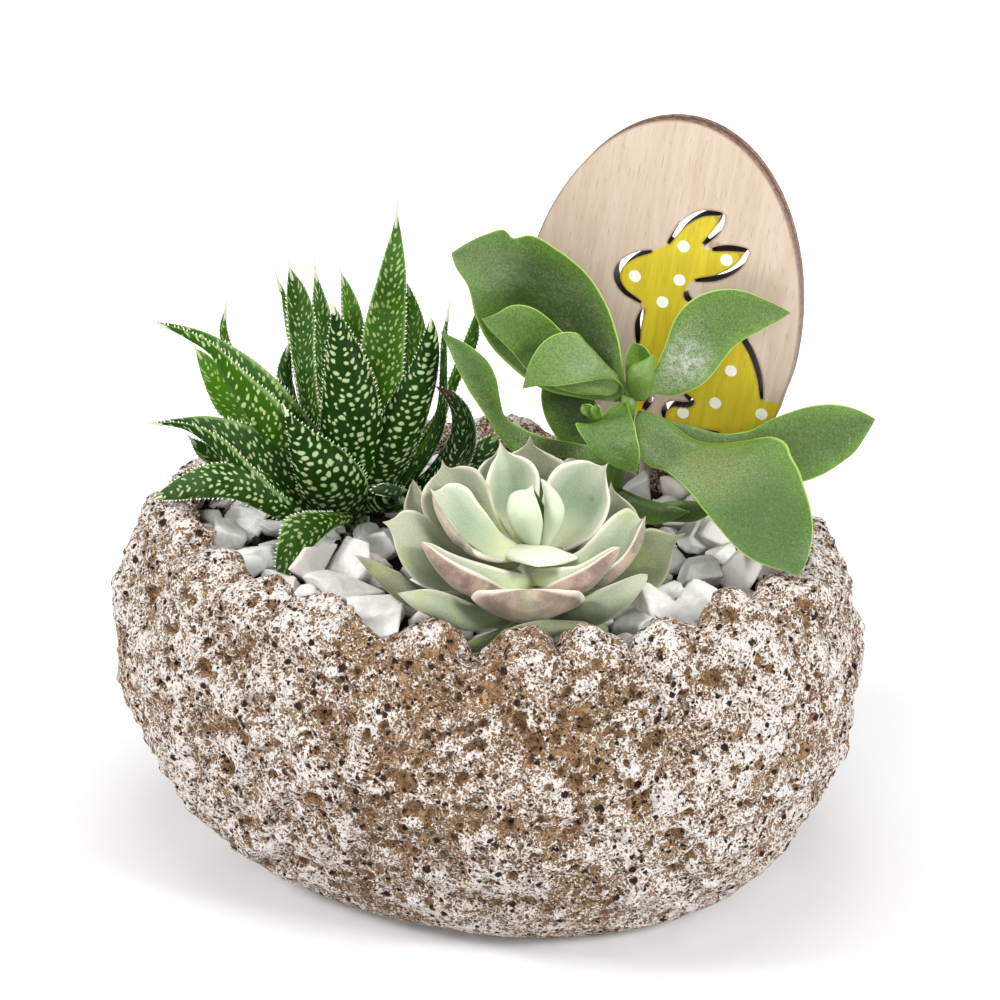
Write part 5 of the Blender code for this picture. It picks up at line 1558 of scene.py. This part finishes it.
def board_finish(name, kind):
    """Bare veneer, paint that lets the grain through, or the burnt edge with its three plies."""
    made, tree = new_finish(name, 0.62)
    sheet = put(tree, "Attribute", give="Vector", attribute_name="sheet")
    burnt, in_slot = masks(tree, "burn", "slot")
    streak, pore = use(GRAIN, sheet, ("Streak", "Pore"), Scale=1.0)
    if kind == "edge":
        ply = ranged(abs(put(tree, "SeparateXYZ", {0: sheet}, 2)), 0.8, 1.0)
        wood = coated(mixed(ply, (92, 66, 52), (138, 108, 92)),
                      (ranged(speckle(sheet, 0.8, 4, 0.7), 0.35, 0.7), (70, 48, 40)),
                      (in_slot, (34, 22, 20)))
    else:
        pores, scorch = (150, 120, 98), (ranged(burnt, 0.75, 0.05, 0.55), (112, 66, 40))
        if kind == "bare":
            wood = mixed(ranged(streak, 0.25, 0.75), (181, 160, 139), (193, 177, 160))
            wood = coated(wood, (pore * 0.35, pores), scorch)
        if kind == "yellow":
            wood = mixed(ranged(streak, 0.3, 0.7), (182, 163, 8), (200, 182, 30))
            wood = coated(wood, (pore * 0.3, (150, 112, 20)), scorch)
        if kind == "white":
            wood = coated(mixed(streak, (226, 228, 214), (240, 240, 228)), scorch)
    return finish_with(made, wood, pore * -0.8 + streak, 0.14)


board_finishes = [board_finish("birch veneer", "bare"), board_finish("yellow paint", "yellow"),
                  board_finish("white dots", "white"), board_finish("burnt edge", "edge")]
board = add_piece("plywood_egg", (board_points, board_faces, board_masks), board_finishes,
                  "wooden_egg", board_kinds)
board.data.set_sharp_from_angle(angle=np.radians(35))

# %% [markdown]
# The pick is a round birch stick, glued to the back of the egg and pushed into the soil. It is
# hidden from the front, so a round bar with a rounded top is enough.


# %% Pick
PICK_LOW, PICK_HIGH, PICK_RADIUS = 48, 149, 1.5


def pick_shell():
    """Rings up the stick, then a quarter circle for its rounded head."""
    bow = np.linspace(0.2, 1.45, 6)
    heights = np.concatenate([np.linspace(PICK_LOW, PICK_HIGH, 60), PICK_HIGH + np.sin(bow)])
    radius = np.concatenate([[0.5, 1.0], np.full(58, PICK_RADIUS), PICK_RADIUS * np.cos(bow)])
    line = FOOT["pick"] * [1, 1, 0] + heights[:, None] * UP
    rings = rings_round(line, radius[:, None], np.array([1.0, 0, 0]), np.array([0, 1.0, 0]), 28)
    top = line[0] + (PICK_HIGH + 1 - PICK_LOW) * UP
    points, faces = closed_skin(rings, line[0] - 0.1 * UP, top)
    return points, faces, {"sheet": (points * [2, 1, 1])[:, [0, 2, 1]],
                           "burn": np.full(len(points), 9.0)}


add_piece("birch_pick", pick_shell(), [board_finishes[0]], "pick")

# %% [markdown]
# ## Floor and light
# The object stands on a plain white floor between two soft windows, with a weaker one in front, a
# wide light above and an even sky. The shadows stay soft, and only the gap under the bowl is dark.
# Away from the object the floor glows a little, as a white backdrop that has lights of its own.

# %% Floor
floor_mesh = bpy.data.meshes.new("floor")
floor_mesh.from_pydata([(-4, -4, 0), (4, -4, 0), (4, 4, 0), (-4, 4, 0)], [], [(0, 1, 2, 3)])
floor = bpy.data.objects.new("floor", floor_mesh)
bpy.context.scene.collection.objects.link(floor)
floor_finish, floor_tree = new_finish("white floor", 0.7, {
    "Base Color": (0.74, 0.74, 0.744, 1), "Emission Color": (1, 0.995, 1, 1)})
near_pot = close_to(millimetres(floor_tree), (0, 0, 0), 400, 90)
fill(floor_tree.nodes["Principled BSDF"], {"Emission Strength": near_pot * -0.6 + 0.62})
floor_mesh.materials.append(floor_finish)
floor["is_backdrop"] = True


# %% Lights and sky
def soft_light(name, place, size, watts):
    """A square area light that looks at the middle of the plants."""
    data = bpy.data.lights.new(name, "AREA")
    data.size, data.energy = size, watts
    made = bpy.data.objects.new(name, data)
    bpy.context.scene.collection.objects.link(made)
    made.location = place
    made.rotation_euler = (Vector((0, 0, 0.1)) - Vector(place)).to_track_quat("-Z", "Y").to_euler()


soft_light("left window", (-1.35, -0.55, 1.0), 0.5, 26)
soft_light("right window", (1.4, -0.45, 0.95), 0.5, 29)
soft_light("front window", (0.1, -1.7, 0.9), 0.8, 10)
soft_light("ceiling", (-0.1, 0.1, 1.6), 0.9, 10)
sky = bpy.data.worlds.new("even sky")
sky.use_nodes = True
seen_by_eye = put(sky.node_tree, "LightPath", give="Is Camera Ray")
fill(sky.node_tree.nodes["Background"], {
    "Color": (1, 1, 1, 1), "Strength": seen_by_eye * 0.68 + 0.32})
bpy.context.scene.world = sky
bpy.context.scene.view_settings.view_transform = "Standard"

# %% Sizes
low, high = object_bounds()
print("box of the finished object in mm:", [round(1000 * (b - a), 1) for a, b in zip(low, high)])
